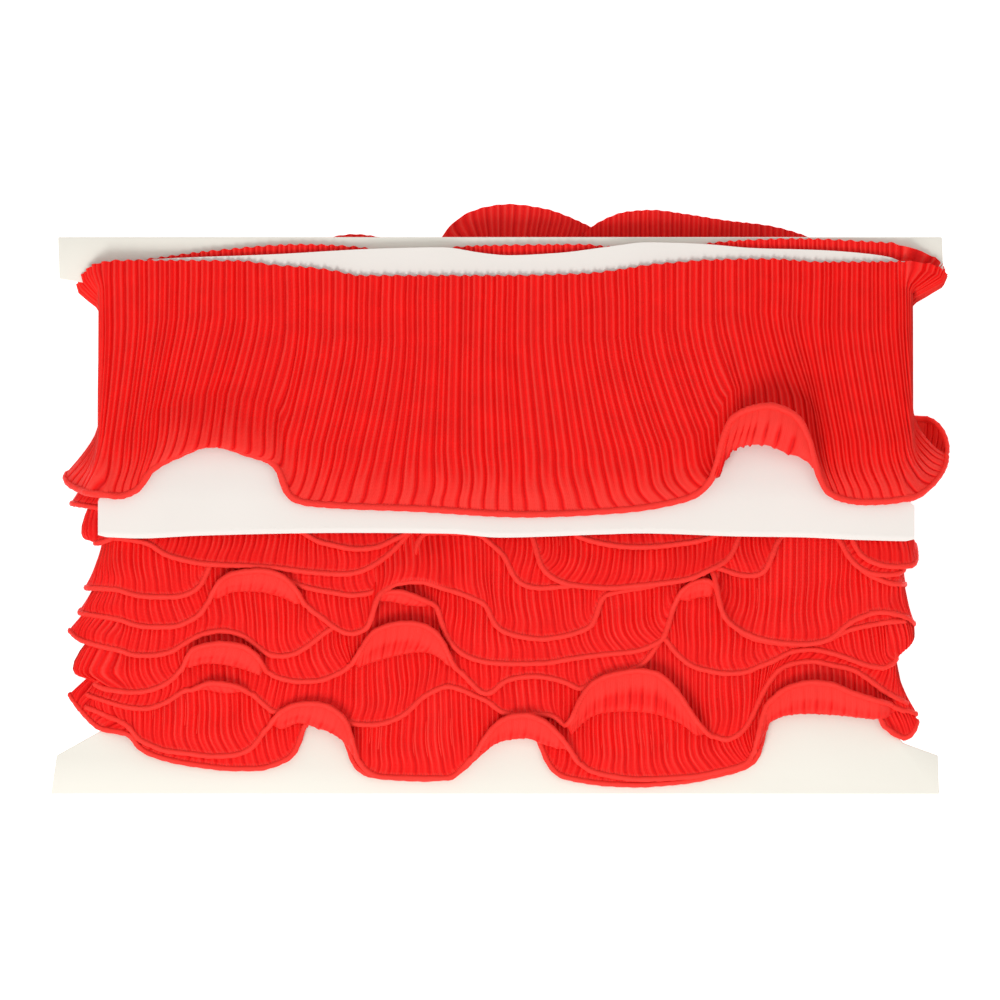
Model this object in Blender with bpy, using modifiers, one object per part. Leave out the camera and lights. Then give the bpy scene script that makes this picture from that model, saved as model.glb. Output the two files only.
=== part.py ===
"""Pleated ribbon wound flat on a card, modelled in Blender 4.5 (metres, +Z up).

The piece lies on its back: the card is parallel to the ground, +Y points to the
card's top edge and +X to the right as the front is seen from above. The origin
is at the middle of the bounding box, on the ground.

Sub-parts: the card, the strip laid in between the turns, the wound turns with
their wavy hems, and the outermost turn, which is a separate closed band.
"""

import math
from dataclasses import dataclass
from typing import Callable, NamedTuple

import bmesh
import bpy
import numpy as np

MM = 0.001

# Driving dimensions in millimetres.
GAP = 0.3
CARD_THICKNESS = 2.0
CARD_BACK = 9.0
CARD_FRONT = CARD_BACK + CARD_THICKNESS
NECK_LEFT = -132.5
NECK_RIGHT = 132.5
STRIP_THICKNESS = 1.0
TURN_THICKNESS = 1.3
TIER_THICKNESS = 1.5
FRONT_LAYER = 1.15
BACK_LAYER = 0.65
END_LAYER = 0.85
WOUND_TURNS = 11
UNION_SOLVER = "MANIFOLD"
OUTER_LEFT = -144.0
OUTER_RIGHT = 148.0
CORNER_RADIUS = 2.5
SPRING_ABOVE_STRIP = 1.35
HEM_ZONE = 22.0
TIER_DEPTH = 24.0
FLARE_DEPTH = 15.0
FULL_CURL = 6.0
FULL_UNDER = 3.0
ROOM_IN_FOLD = 4.8

CARD_COLOUR = (0.90, 0.87, 0.79, 1.0)
STRIP_COLOUR = (0.86, 0.84, 0.80, 1.0)
RIBBON_COLOUR = (0.78, 0.008, 0.006, 1.0)


class Fold(NamedTuple):
    """One place along a hem.

    `x` is the place along the card. `low` is the lowest line of the cloth there.
    `tuck` is how far the hem lies back above that line, above zero when it curls
    to the front and below zero when it is turned under. `out` is how far the
    cloth stands off its layer.
    """

    x: float
    low: float
    tuck: float
    out: float


class Tip(NamedTuple):
    """The hem where a turn goes round an end: `tip` is the x that it reaches."""

    tip: float
    low: float
    tuck: float


class Edge(NamedTuple):
    """One place along a straight top edge, with how far it stands off its layer."""

    x: float
    top: float
    out: float


class Station(NamedTuple):
    """One cross-section of the wound stack, across the card at height `y`."""

    y: float
    left: float
    right: float
    front: float
    back: float


@dataclass(frozen=True)
class Turn:
    """One turn of ribbon: its layer from the card outwards and its hem."""

    name: str
    layer: float
    front: tuple[Fold, ...]
    right: Tip
    back: tuple[Fold, ...]
    left: Tip


# The hem of the outermost turn, left to right on the front and right to left on the back.
OUTER_FRONT = (
    Fold(-137.0, 0.5, 0.0, 1.5),
    Fold(-130.0, 3.0, 0.0, 1.5),
    Fold(-125.0, 10.5, -2.0, 3.5),
    Fold(-114.0, 16.0, -3.0, 5.0),
    Fold(-103.5, 18.5, -4.0, 6.0),
    Fold(-90.0, 15.0, -3.0, 5.0),
    Fold(-79.5, 11.0, -2.0, 3.5),
    Fold(-76.0, 1.0, 0.0, 2.0),
    Fold(-68.0, -2.0, 0.0, 1.0),
    Fold(-29.0, -4.0, 0.0, 1.0),
    Fold(9.0, -6.0, 0.0, 1.0),
    Fold(43.0, -4.5, 0.0, 1.0),
    Fold(66.0, -0.5, 0.0, 1.5),
    Fold(75.0, 3.5, 1.0, 4.0),
    Fold(80.0, 12.0, 9.5, 8.0),
    Fold(87.0, 17.5, 13.5, 11.0),
    Fold(96.0, 18.5, 15.0, 12.5),
    Fold(106.0, 14.5, 14.5, 11.0),
    Fold(112.0, 10.0, 7.0, 7.0),
    Fold(117.0, 3.0, 0.0, 3.0),
    Fold(125.0, -1.5, 0.0, 1.5),
    Fold(136.0, -2.0, 0.0, 1.0),
    Fold(145.0, 0.0, 0.0, 4.0),
)
OUTER_BACK = (
    Fold(130.0, 1.0, 0.0, 0.0),
    Fold(97.0, 11.0, 0.0, 0.0),
    Fold(53.0, 15.0, 0.0, 0.0),
    Fold(30.0, 9.0, 0.0, 0.0),
    Fold(3.0, 17.0, 0.0, 0.0),
    Fold(-26.0, 0.0, 0.0, 0.0),
    Fold(-53.0, 7.0, 0.0, 0.0),
    Fold(-85.0, -2.0, 0.0, 0.0),
    Fold(-112.0, 5.0, 0.0, 0.0),
    Fold(-133.0, -1.0, 0.0, 0.0),
)
OUTER = Turn("outer_turn", WOUND_TURNS + 1, OUTER_FRONT, Tip(161.3, 17.0, 0.0), OUTER_BACK, Tip(-157.0, 7.0, 0.0))

# The straight top edge of the outermost turn: front, right end, back with its humps, left end.
OUTER_TOP_FRONT = (
    Edge(-138.0, 86.0, 0.0),
    Edge(-88.5, 85.5, 0.0),
    Edge(-51.5, 80.5, 0.0),
    Edge(27.0, 81.0, 0.0),
    Edge(60.0, 85.5, 0.0),
    Edge(97.0, 86.5, 0.0),
    Edge(142.5, 85.5, 0.5),
)
OUTER_TOP_RIGHT = Edge(OUTER_RIGHT, 77.0, 12.0)
OUTER_TOP_BACK = (
    Edge(130.0, 87.0, 0.0),
    Edge(111.5, 95.0, 0.0),
    Edge(82.0, 101.0, 0.0),
    Edge(53.0, 104.5, 0.0),
    Edge(33.0, 98.5, 0.0),
    Edge(3.0, 106.7, 0.0),
    Edge(-15.0, 101.0, 0.0),
    Edge(-26.0, 91.0, 0.0),
    Edge(-42.0, 93.5, 0.0),
    Edge(-53.0, 95.5, 0.0),
    Edge(-65.0, 93.0, 0.0),
    Edge(-133.0, 86.0, 0.0),
)
OUTER_TOP_LEFT = Edge(OUTER_LEFT, 75.5, 8.0)

# The hems that step down the front, from the turn next to the card outwards.
TIERS = (
    Turn(
        "first_turns",
        1.6,
        (
            Fold(-133.0, -87.0, 0.0, 1.5),
            Fold(-121.0, -94.5, 0.0, 0.5),
            Fold(-93.5, -98.0, 0.0, 0.5),
            Fold(-78.0, -92.0, 2.0, 3.0),
            Fold(-68.0, -83.0, 8.5, 8.0),
            Fold(-58.5, -85.5, 7.0, 7.0),
            Fold(-52.0, -97.0, 0.0, 2.0),
            Fold(-25.0, -101.5, 0.0, 0.5),
            Fold(-9.0, -95.5, 2.0, 3.0),
            Fold(-1.0, -89.0, 8.0, 7.0),
            Fold(8.0, -86.0, 9.0, 8.5),
            Fold(17.0, -91.0, 7.0, 7.0),
            Fold(24.0, -100.0, 1.0, 2.0),
            Fold(47.0, -103.0, 0.0, 0.5),
            Fold(88.0, -98.0, 0.0, 1.0),
            Fold(95.0, -88.0, 6.0, 5.0),
            Fold(102.0, -79.5, 10.0, 9.0),
            Fold(115.0, -77.8, 11.5, 9.5),
            Fold(132.0, -79.0, 8.0, 7.0),
        ),
        Tip(150.5, -78.5, 0.0),
        (Fold(95.0, -84.0, 0.0, 0.0), Fold(25.0, -94.0, 0.0, 0.0), Fold(-60.0, -86.0, 0.0, 0.0)),
        Tip(-156.0, -75.5, 0.0),
    ),
    Turn(
        "third_turn",
        3.0,
        (
            Fold(-126.0, -76.5, 0.0, 1.0),
            Fold(-101.5, -71.5, 5.0, 5.5),
            Fold(-81.0, -79.0, 0.5, 1.5),
            Fold(-47.0, -82.0, 0.0, 1.0),
            Fold(-18.0, -75.0, 6.0, 5.0),
            Fold(20.0, -83.0, 1.0, 1.0),
            Fold(35.0, -78.0, 11.0, 6.5),
            Fold(48.5, -77.0, 16.0, 8.5),
            Fold(62.0, -80.5, 13.0, 7.0),
            Fold(80.0, -87.0, 0.5, 1.5),
            Fold(99.0, -77.0, 2.0, 2.5),
            Fold(130.0, -75.5, 0.0, 1.0),
        ),
        Tip(146.0, -73.5, 0.0),
        (Fold(70.0, -77.0, 0.0, 0.0), Fold(-20.0, -70.0, 0.0, 0.0), Fold(-100.0, -76.0, 0.0, 0.0)),
        Tip(-153.5, -71.0, 0.0),
    ),
    Turn(
        "fourth_turn",
        4.0,
        (
            Fold(-131.5, -69.5, 0.0, 1.0),
            Fold(-119.0, -66.0, 3.0, 3.0),
            Fold(-107.0, -61.5, 9.5, 7.0),
            Fold(-98.0, -61.0, 12.0, 8.0),
            Fold(-88.0, -64.0, 8.0, 6.0),
            Fold(-70.0, -67.5, 0.5, 1.0),
            Fold(-48.5, -61.0, 8.0, 5.0),
            Fold(-34.0, -56.5, 13.0, 7.5),
            Fold(-24.0, -57.5, 9.0, 6.0),
            Fold(-9.0, -71.5, 0.0, 1.0),
            Fold(14.5, -70.5, 6.0, 4.0),
            Fold(45.0, -69.0, 0.0, 1.0),
            Fold(60.0, -59.0, 2.0, 2.0),
            Fold(83.0, -63.5, 0.0, 1.0),
            Fold(112.5, -56.0, 1.5, 3.0),
            Fold(133.0, -60.0, 0.0, 1.5),
        ),
        Tip(144.0, -62.5, 0.0),
        (Fold(90.0, -60.0, 0.0, 0.0), Fold(10.0, -66.0, 0.0, 0.0), Fold(-80.0, -59.0, 0.0, 0.0)),
        Tip(-154.5, -64.0, 0.0),
    ),
    Turn(
        "fifth_turn",
        5.0,
        (
            Fold(-133.0, -57.0, 0.0, 1.0),
            Fold(-120.5, -58.5, 0.0, 1.0),
            Fold(-99.0, -55.5, 2.0, 2.0),
            Fold(-65.5, -62.5, 0.0, 1.0),
            Fold(-32.0, -52.0, 2.5, 2.0),
            Fold(-19.0, -53.0, 0.0, 1.5),
            Fold(-9.0, -59.0, 0.0, 1.0),
            Fold(10.0, -60.5, 0.0, 1.0),
            Fold(56.0, -53.5, 0.0, 1.0),
            Fold(62.5, -44.5, 0.0, 2.0),
            Fold(72.0, -38.5, 0.5, 3.0),
            Fold(83.0, -45.5, 0.0, 1.0),
            Fold(101.0, -52.5, 0.0, 1.0),
            Fold(126.0, -47.5, 0.0, 1.0),
        ),
        Tip(149.5, -44.5, 0.0),
        (Fold(75.0, -52.0, 0.0, 0.0), Fold(-5.0, -46.0, 0.0, 0.0), Fold(-95.0, -53.0, 0.0, 0.0)),
        Tip(-155.5, -49.0, 0.0),
    ),
    Turn(
        "sixth_turn",
        6.0,
        (
            Fold(-122.5, -47.0, 0.0, 1.0),
            Fold(-112.0, -44.0, 1.5, 2.0),
            Fold(-102.5, -37.0, 9.0, 3.0),
            Fold(-92.0, -34.0, 9.5, 3.5),
            Fold(-79.0, -36.5, 6.0, 3.0),
            Fold(-56.0, -49.0, 0.0, 1.0),
            Fold(-46.0, -45.5, 0.0, 1.0),
            Fold(-41.0, -36.5, 1.5, 2.0),
            Fold(-29.0, -32.0, 3.0, 2.0),
            Fold(-9.0, -38.5, 1.0, 1.5),
            Fold(1.0, -48.5, 0.0, 1.0),
            Fold(20.0, -51.0, 0.0, 1.0),
            Fold(35.5, -40.5, 0.0, 2.0),
            Fold(72.0, -36.5, 0.0, 1.0),
            Fold(101.0, -50.5, 0.0, 1.0),
            Fold(133.0, -42.0, 0.0, 1.0),
        ),
        Tip(148.0, -41.0, 0.0),
        (Fold(85.0, -36.0, 0.0, 0.0), Fold(-10.0, -42.0, 0.0, 0.0), Fold(-85.0, -36.0, 0.0, 0.0)),
        Tip(-152.0, -41.5, 0.0),
    ),
    Turn(
        "seventh_turn",
        7.0,
        (
            Fold(-120.5, -36.5, 0.0, 1.0),
            Fold(-108.5, -33.5, 0.0, 1.0),
            Fold(-92.0, -23.0, 0.5, 1.0),
            Fold(-70.0, -33.0, 0.0, 1.0),
            Fold(-54.0, -35.0, 0.0, 1.0),
            Fold(-32.5, -24.0, 0.0, 1.0),
            Fold(-12.0, -19.5, 0.5, 1.0),
            Fold(3.5, -27.0, 0.0, 1.0),
            Fold(20.0, -32.5, 0.0, 1.0),
            Fold(50.5, -31.0, 0.0, 1.0),
            Fold(72.0, -24.0, 0.0, 1.0),
            Fold(90.5, -28.5, 1.0, 1.5),
            Fold(108.0, -18.0, 0.5, 1.0),
            Fold(135.0, -26.5, 0.0, 1.0),
        ),
        Tip(148.5, -27.5, 0.0),
        (Fold(60.0, -30.0, 0.0, 0.0), Fold(-20.0, -24.0, 0.0, 0.0), Fold(-100.0, -30.0, 0.0, 0.0)),
        Tip(-149.5, -33.0, 0.0),
    ),
    Turn(
        "eighth_turn",
        8.0,
        (
            Fold(-138.0, -19.0, 0.0, 0.3),
            Fold(-120.5, -22.0, 0.0, 0.5),
            Fold(-95.0, -24.0, 0.0, 1.2),
            Fold(-56.0, -27.5, 0.0, 1.0),
            Fold(-42.0, -24.0, 0.0, 0.8),
            Fold(-33.0, -17.5, 0.0, 0.3),
            Fold(5.0, -17.5, 0.0, 0.3),
            Fold(14.5, -25.0, 0.0, 0.8),
            Fold(25.0, -30.5, 0.0, 1.0),
            Fold(43.0, -31.5, 0.0, 1.0),
            Fold(65.0, -29.5, 0.0, 1.0),
            Fold(80.0, -24.0, 0.0, 0.8),
            Fold(89.0, -17.5, 0.0, 0.3),
            Fold(119.0, -17.5, 0.0, 0.3),
            Fold(132.0, -24.0, 0.0, 0.5),
            Fold(142.0, -22.0, 0.0, 0.3),
        ),
        Tip(150.0, -20.5, 0.0),
        (Fold(80.0, -16.0, 0.0, 0.0), Fold(0.0, -21.0, 0.0, 0.0), Fold(-80.0, -15.0, 0.0, 0.0)),
        Tip(-150.0, -18.5, 0.0),
    ),
)

# The wound stack: it is thickest where most turns lie over one another.
STACK = (
    Station(-74.0, -134.5, 138.5, 12.4, 0.0),
    Station(-66.0, -135.5, 139.5, 13.9, 0.0),
    Station(-56.0, -136.5, 140.5, 15.0, 0.0),
    Station(-46.0, -137.5, 141.5, 16.2, 0.0),
    Station(-34.0, -138.5, 142.5, 17.4, 0.0),
    Station(-24.0, -140.0, 144.0, 18.6, 0.0),
    Station(-14.0, -141.0, 145.0, 19.7, 0.0),
    Station(-9.0, -141.5, 145.5, 20.2, 0.0),
    Station(-6.0, -141.8, 145.8, 20.4, 1.75),
    Station(2.0, -142.0, 146.0, 20.6, 1.75),
    Station(12.0, -142.0, 146.0, 19.9, 1.75),
    Station(26.0, -142.0, 146.0, 18.4, 1.75),
    Station(40.0, -142.0, 146.0, 17.0, 1.75),
    Station(52.0, -142.0, 146.0, 15.9, 1.75),
    Station(60.0, -142.0, 146.0, 15.1, 1.75),
)

# The turns' top edges where they lie on the front of the card's flange.
UPPER_EDGE = (
    Edge(-136.0, 85.5, 0.0),
    Edge(-104.0, 89.5, 0.0),
    Edge(-70.0, 91.5, 0.0),
    Edge(-43.0, 90.0, 0.0),
    Edge(-21.0, 90.5, 0.0),
    Edge(20.0, 92.0, 0.0),
    Edge(75.0, 92.0, 0.0),
    Edge(105.0, 93.8, 0.0),
    Edge(142.0, 91.0, 0.0),
)

# The strip between the turns, seen from the side: its height follows the stack.
STRIP_PROFILE = ((93.0, 14.0), (72.0, 14.8), (52.0, 16.5), (26.0, 19.1), (10.0, 20.8), (0.0, 21.4), (-15.0, 21.4))
STRIP_TOP = (
    Edge(-142.0, 85.0, 0.0),
    Edge(-126.0, 86.5, 0.0),
    Edge(-85.0, 88.0, 0.0),
    Edge(-38.0, 90.5, 0.0),
    Edge(-14.0, 90.0, 0.0),
    Edge(10.0, 87.5, 0.0),
    Edge(40.0, 91.0, 0.0),
    Edge(65.0, 92.0, 0.0),
    Edge(115.0, 89.5, 0.0),
    Edge(146.0, 86.5, 0.0),
)
STRIP_BOTTOM = (
    Edge(-144.5, -13.5, 0.0),
    Edge(-108.0, -13.0, 0.0),
    Edge(-54.0, -12.0, 0.0),
    Edge(0.0, -13.5, 0.0),
    Edge(40.0, -12.5, 0.0),
    Edge(90.0, -13.5, 0.0),
    Edge(149.0, -15.0, 0.0),
)
STRIP_LEFT = ((-15.0, -144.5), (-6.0, -144.5), (-1.0, -141.2), (93.0, -141.2))
STRIP_RIGHT = ((-15.0, 149.0), (-6.0, 149.0), (-1.0, 145.2), (93.0, 145.2))

# The card's outline, from the bottom left corner round to the top left one.
CARD_CORNERS = (
    (-162.0, -106.5),
    (158.5, -106.5),
    (158.0, -92.5),
    (145.5, -88.0),
    (139.0, -81.0),
    (134.5, -77.0),
    (NECK_RIGHT, -74.6),
    (NECK_RIGHT, 62.0),
    (136.0, 70.0),
    (143.0, 78.0),
    (156.0, 79.0),
    (160.0, 80.5),
    (159.5, 94.5),
    (-159.5, 94.5),
    (-159.0, 79.5),
    (-150.0, 78.0),
    (-141.0, 72.0),
    (NECK_LEFT, 60.0),
    (NECK_LEFT, -74.6),
    (-135.5, -77.5),
    (-142.0, -82.5),
    (-160.0, -92.5),
)


def blend(first: float, second: float, share: float) -> float:
    """Mix two numbers, with share running from 0 to 1."""
    return first + (second - first) * share


def smooth_through(places: np.ndarray, values: np.ndarray, wanted: np.ndarray) -> np.ndarray:
    """Read a smooth curve through rows that never overshoots a crest or a trough."""
    step = np.diff(places)
    slope = np.diff(values) / step
    tangent = np.zeros(len(values))
    for i in range(1, len(values) - 1):
        if slope[i - 1] * slope[i] > 0.0:
            before = 2.0 * step[i] + step[i - 1]
            after = step[i] + 2.0 * step[i - 1]
            tangent[i] = (before + after) / (before / slope[i - 1] + after / slope[i])
    i = np.clip(np.searchsorted(places, wanted, side="right") - 1, 0, len(places) - 2)
    t = (wanted - places[i]) / step[i]
    start = (2 * t**3 - 3 * t**2 + 1) * values[i] + (t**3 - 2 * t**2 + t) * step[i] * tangent[i]
    finish = (3 * t**2 - 2 * t**3) * values[i + 1] + (t**3 - t**2) * step[i] * tangent[i + 1]
    return start + finish


def read_table(rows: tuple, wanted: float, place: int = 0, value: int = 1) -> float:
    """Read one column of a short table at a place along another."""
    ordered = sorted(rows, key=lambda row: row[place])
    places = np.array([row[place] for row in ordered])
    values = np.array([row[value] for row in ordered])
    inside = float(np.clip(wanted, places[0], places[-1]))
    return float(smooth_through(places, values, np.array([inside]))[0])


class WindingPath:
    """The way a turn takes round the card: a rectangle with rounded corners."""

    def __init__(self, left: float, right: float, front: Callable[[float], float], back: float) -> None:
        """Keep the ends, the height of the front at each y and the height of the back."""
        self.left = left
        self.right = right
        self.front = front
        self.back = back
        self.end_length = 22.0
        self.straight = right - left - 2.0 * CORNER_RADIUS

    @property
    def length(self) -> float:
        """The length once round, in millimetres."""
        return 2.0 * (self.straight + self.end_length)

    def on_front(self, x: float) -> float:
        """The place along the path of a point on the front."""
        return x - self.left - CORNER_RADIUS

    def on_back(self, x: float) -> float:
        """The place along the path of a point on the back."""
        return self.straight + self.end_length + (self.right - CORNER_RADIUS - x)

    @property
    def right_tip(self) -> float:
        """The place along the path of the middle of the right end."""
        return self.straight + self.end_length / 2.0

    @property
    def left_tip(self) -> float:
        """The place along the path of the middle of the left end."""
        return self.length - self.end_length / 2.0

    def end_point(self, share: float, top: float) -> tuple[float, float, float, float]:
        """A point on an end, from the front corner to the back one, and its outward direction."""
        side = max(top - self.back - 2.0 * CORNER_RADIUS, 0.1)
        quarter = CORNER_RADIUS * math.pi / 2.0
        run = share * (side + 2.0 * quarter)
        if run < quarter:
            angle = run / CORNER_RADIUS
            x = CORNER_RADIUS * (math.sin(angle) - 1.0)
            return x, top + CORNER_RADIUS * (math.cos(angle) - 1.0), math.sin(angle), math.cos(angle)
        if run < quarter + side:
            return 0.0, top - CORNER_RADIUS - (run - quarter), 1.0, 0.0
        angle = (run - quarter - side) / CORNER_RADIUS
        x = CORNER_RADIUS * (math.cos(angle) - 1.0)
        return x, self.back + CORNER_RADIUS * (1.0 - math.sin(angle)), math.cos(angle), -math.sin(angle)

    def point(self, place: float, y: float) -> tuple[float, float, float, float]:
        """The x and z of a place along the path, and the outward direction there."""
        top = self.front(y)
        place = place % self.length
        if place <= self.straight:
            return self.left + CORNER_RADIUS + place, top, 0.0, 1.0
        place -= self.straight
        if place <= self.end_length:
            x, z, out_x, out_z = self.end_point(place / self.end_length, top)
            return self.right + x, z, out_x, out_z
        place -= self.end_length
        if place <= self.straight:
            return self.right - CORNER_RADIUS - place, self.back, 0.0, -1.0
        place -= self.straight
        x, z, out_x, out_z = self.end_point(1.0 - place / self.end_length, top)
        return self.left - x, z, -out_x, out_z


def hem_section(low: float, tuck: float, out: float, steps: int) -> list[tuple[float, float]]:
    """The hem zone from its start down to the hem, as (y, distance off the layer).

    It is one cubic curve. Where the hem curls over, its two inner points lie
    below the fold by just as much as makes `low` the lowest line.
    """
    start = low + HEM_ZONE
    back = abs(tuck)
    dip = HEM_ZONE * back / (math.sqrt(HEM_ZONE) + math.sqrt(back)) ** 2
    curl = min(1.0, back / FULL_CURL)
    under = min(1.0, max(0.0, -tuck) / FULL_UNDER)
    out = max(out, ROOM_IN_FOLD * curl)
    heights = (start, blend(start - 0.55 * HEM_ZONE, low - dip, curl), blend(low + 0.2 * HEM_ZONE, low - dip, curl))
    heights += (low + back,)
    offsets = (0.0, blend(0.0, out, under), out, blend(out, 0.2 * out, under))
    points = []
    for step in range(steps + 1):
        t = step / steps
        weights = ((1 - t) ** 3, 3 * t * (1 - t) ** 2, 3 * t**2 * (1 - t), t**3)
        y = sum(w * h for w, h in zip(weights, heights))
        points.append((y, sum(w * o for w, o in zip(weights, offsets))))
    return points


def hem_rows(turn: Turn, path: WindingPath) -> list[tuple[float, float, float, float]]:
    """The turn's rows as (place along the path, low, tuck, out), once round."""
    rows = [(path.on_front(fold.x), fold.low, fold.tuck, fold.out) for fold in turn.front]
    rows.append((path.right_tip, turn.right.low, turn.right.tuck, turn.right.tip - path.right))
    rows += [(path.on_back(fold.x), fold.low, fold.tuck, fold.out) for fold in turn.back]
    rows.append((path.left_tip, turn.left.low, turn.left.tuck, path.left - turn.left.tip))
    return rows


def edge_rows(path: WindingPath) -> list[tuple[float, float, float]]:
    """The outermost turn's top edge as (place along the path, top, out), once round."""
    rows = [(path.on_front(edge.x), edge.top, edge.out) for edge in OUTER_TOP_FRONT]
    rows.append((path.right_tip, OUTER_TOP_RIGHT.top, OUTER_TOP_RIGHT.out))
    rows += [(path.on_back(edge.x), edge.top, edge.out) for edge in OUTER_TOP_BACK]
    rows.append((path.left_tip, OUTER_TOP_LEFT.top, OUTER_TOP_LEFT.out))
    return rows


def read_round(rows: list[tuple], column: int, length: float, places: np.ndarray) -> np.ndarray:
    """Read one column once round a closed path."""
    own = np.array([row[0] for row in rows])
    values = np.array([row[column] for row in rows])
    ringed = np.concatenate([own[-3:] - length, own, own[:3] + length])
    return smooth_through(ringed, np.concatenate([values[-3:], values, values[:3]]), places)


def column_places(rows: list[tuple], path: WindingPath, widest: float) -> np.ndarray:
    """Places for the mesh columns: each row, each corner, and points between them."""
    ends = [path.straight, path.straight + path.end_length * 0.25, path.straight + path.end_length * 0.75]
    ends += [path.straight + path.end_length, path.length - path.end_length]
    ends += [path.length - path.end_length * 0.75, path.length - path.end_length * 0.25]
    marks = sorted([row[0] for row in rows] + ends)
    marks.append(marks[0] + path.length)
    places = []
    for first, second in zip(marks, marks[1:]):
        count = max(1, math.ceil((second - first) / widest))
        places += [blend(first, second, i / count) for i in range(count)]
    return np.array(places)


def band_mesh(name: str, columns: list[list[tuple[float, float, float]]], closed: bool) -> bpy.types.Mesh:
    """Loft an open sheet through unlike sections, joined into a ring when closed."""
    bm = bmesh.new()
    grid = [[bm.verts.new([value * MM for value in point]) for point in column] for column in columns]
    pairs = list(zip(grid, grid[1:]))
    if closed:
        pairs.append((grid[-1], grid[0]))
    for left, right in pairs:
        for upper in range(len(left) - 1):
            bm.faces.new((left[upper], left[upper + 1], right[upper + 1], right[upper]))
    mesh = bpy.data.meshes.new(name)
    bm.to_mesh(mesh)
    bm.free()
    mesh.shade_smooth()
    return mesh


def add_object(mesh: bpy.types.Mesh, collection: bpy.types.Collection) -> bpy.types.Object:
    """Link a mesh to a collection as an object of the same name."""
    thing = bpy.data.objects.new(mesh.name, mesh)
    collection.objects.link(thing)
    return thing


def thicken(thing: bpy.types.Object, thickness: float) -> None:
    """Give a sheet its thickness, half to each side."""
    shell = thing.modifiers.new("Thickness", "SOLIDIFY")
    shell.thickness = thickness * MM
    shell.offset = 0.0
    shell.use_even_offset = False


def principled(name: str, colour: tuple, roughness: float) -> bpy.types.Material:
    """A plain material of the given colour and roughness."""
    material = bpy.data.materials.new(name)
    material.use_nodes = True
    shader = material.node_tree.nodes["Principled BSDF"]
    shader.inputs["Base Color"].default_value = colour
    shader.inputs["Roughness"].default_value = roughness
    shader.inputs["Metallic"].default_value = 0.0
    return material


def strip_height(y: float) -> float:
    """The height of the strip's lower face, which follows the stack."""
    return read_table(STRIP_PROFILE, y)


def turn_path(turn: Turn) -> WindingPath:
    """The path of a wound turn, further from the card for each layer."""
    inner = WOUND_TURNS - turn.layer
    height = CARD_FRONT + GAP + FRONT_LAYER * (turn.layer - 0.5)
    left = OUTER_LEFT + TURN_THICKNESS + END_LAYER * inner
    right = OUTER_RIGHT - TURN_THICKNESS - END_LAYER * inner
    back = CARD_BACK - GAP - BACK_LAYER * (turn.layer + 0.5)
    return WindingPath(left, right, lambda y: height, back)


def outer_path() -> WindingPath:
    """The path of the outermost turn: over the strip on the front, on the ground at the back."""
    spring = STRIP_THICKNESS + SPRING_ABOVE_STRIP
    return WindingPath(OUTER_LEFT, OUTER_RIGHT, lambda y: strip_height(y) + spring, TURN_THICKNESS / 2.0)


def place_section(path: WindingPath, place: float, section: list, thickness: float) -> list:
    """Set a section of (y, out) points up at a place along the path, no lower than the ground."""
    points = []
    for y, out in section:
        x, z, out_x, out_z = path.point(place, y)
        points.append((x + out_x * out, y, max(z + out_z * out, thickness / 2.0)))
    return points


def tier_sheet(turn: Turn, collection: bpy.types.Collection) -> bpy.types.Object:
    """The free hem of one wound turn, all the way round."""
    path = turn_path(turn)
    rows = hem_rows(turn, path)
    places = column_places(rows, path, 17.0)
    low, tuck, out = (read_round(rows, column, path.length, places) for column in (1, 2, 3))
    columns = []
    for i, place in enumerate(places):
        section = [(low[i] + TIER_DEPTH, 0.0)] + hem_section(low[i], tuck[i], out[i], 5)
        columns.append(place_section(path, place, section, TIER_THICKNESS))
    sheet = add_object(band_mesh(turn.name, columns, closed=True), collection)
    thicken(sheet, TIER_THICKNESS)
    return sheet


def outer_turn(collection: bpy.types.Collection) -> bpy.types.Object:
    """The outermost turn, from its straight top edge down to its wavy hem."""
    path = outer_path()
    hem = hem_rows(OUTER, path)
    edge = edge_rows(path)
    places = column_places(hem, path, 9.0)
    low, tuck, out = (read_round(hem, column, path.length, places) for column in (1, 2, 3))
    top, flare = (read_round(edge, column, path.length, places) for column in (1, 2))
    columns = []
    for i, place in enumerate(places):
        start = low[i] + HEM_ZONE
        section = [(top[i] - FLARE_DEPTH * t, flare[i] * (1.0 - t) ** 2) for t in (0.0, 0.5, 1.0)]
        bottom = top[i] - FLARE_DEPTH
        section += [(blend(bottom, start, t), 0.0) for t in (0.25, 0.5, 0.75)]
        section += hem_section(low[i], tuck[i], out[i], 6)
        columns.append(place_section(path, place, section, TURN_THICKNESS))
    turn = add_object(band_mesh("outer_turn", columns, closed=True), collection)
    thicken(turn, TURN_THICKNESS)
    return turn


def stack_ring(station: Station) -> tuple[list, list]:
    """The outer and the inner outline of the stack at one station."""
    corner = CORNER_RADIUS
    outer = []
    centres = (
        (station.right - corner, station.front - corner, 0.0),
        (station.left + corner, station.front - corner, 90.0),
        (station.left + corner, station.back + corner, 180.0),
        (station.right - corner, station.back + corner, 270.0),
    )
    for x, z, first in centres:
        for step in range(3):
            angle = math.radians(first + 45.0 * step)
            outer.append((x + corner * math.cos(angle), station.y, z + corner * math.sin(angle)))
    low, high = CARD_BACK - GAP, CARD_FRONT + GAP
    left, right = NECK_LEFT - GAP, NECK_RIGHT + GAP
    inner = [(x, station.y, z) for x, z in ((right, high), (left, high), (left, low), (right, low))]
    return outer, inner


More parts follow.
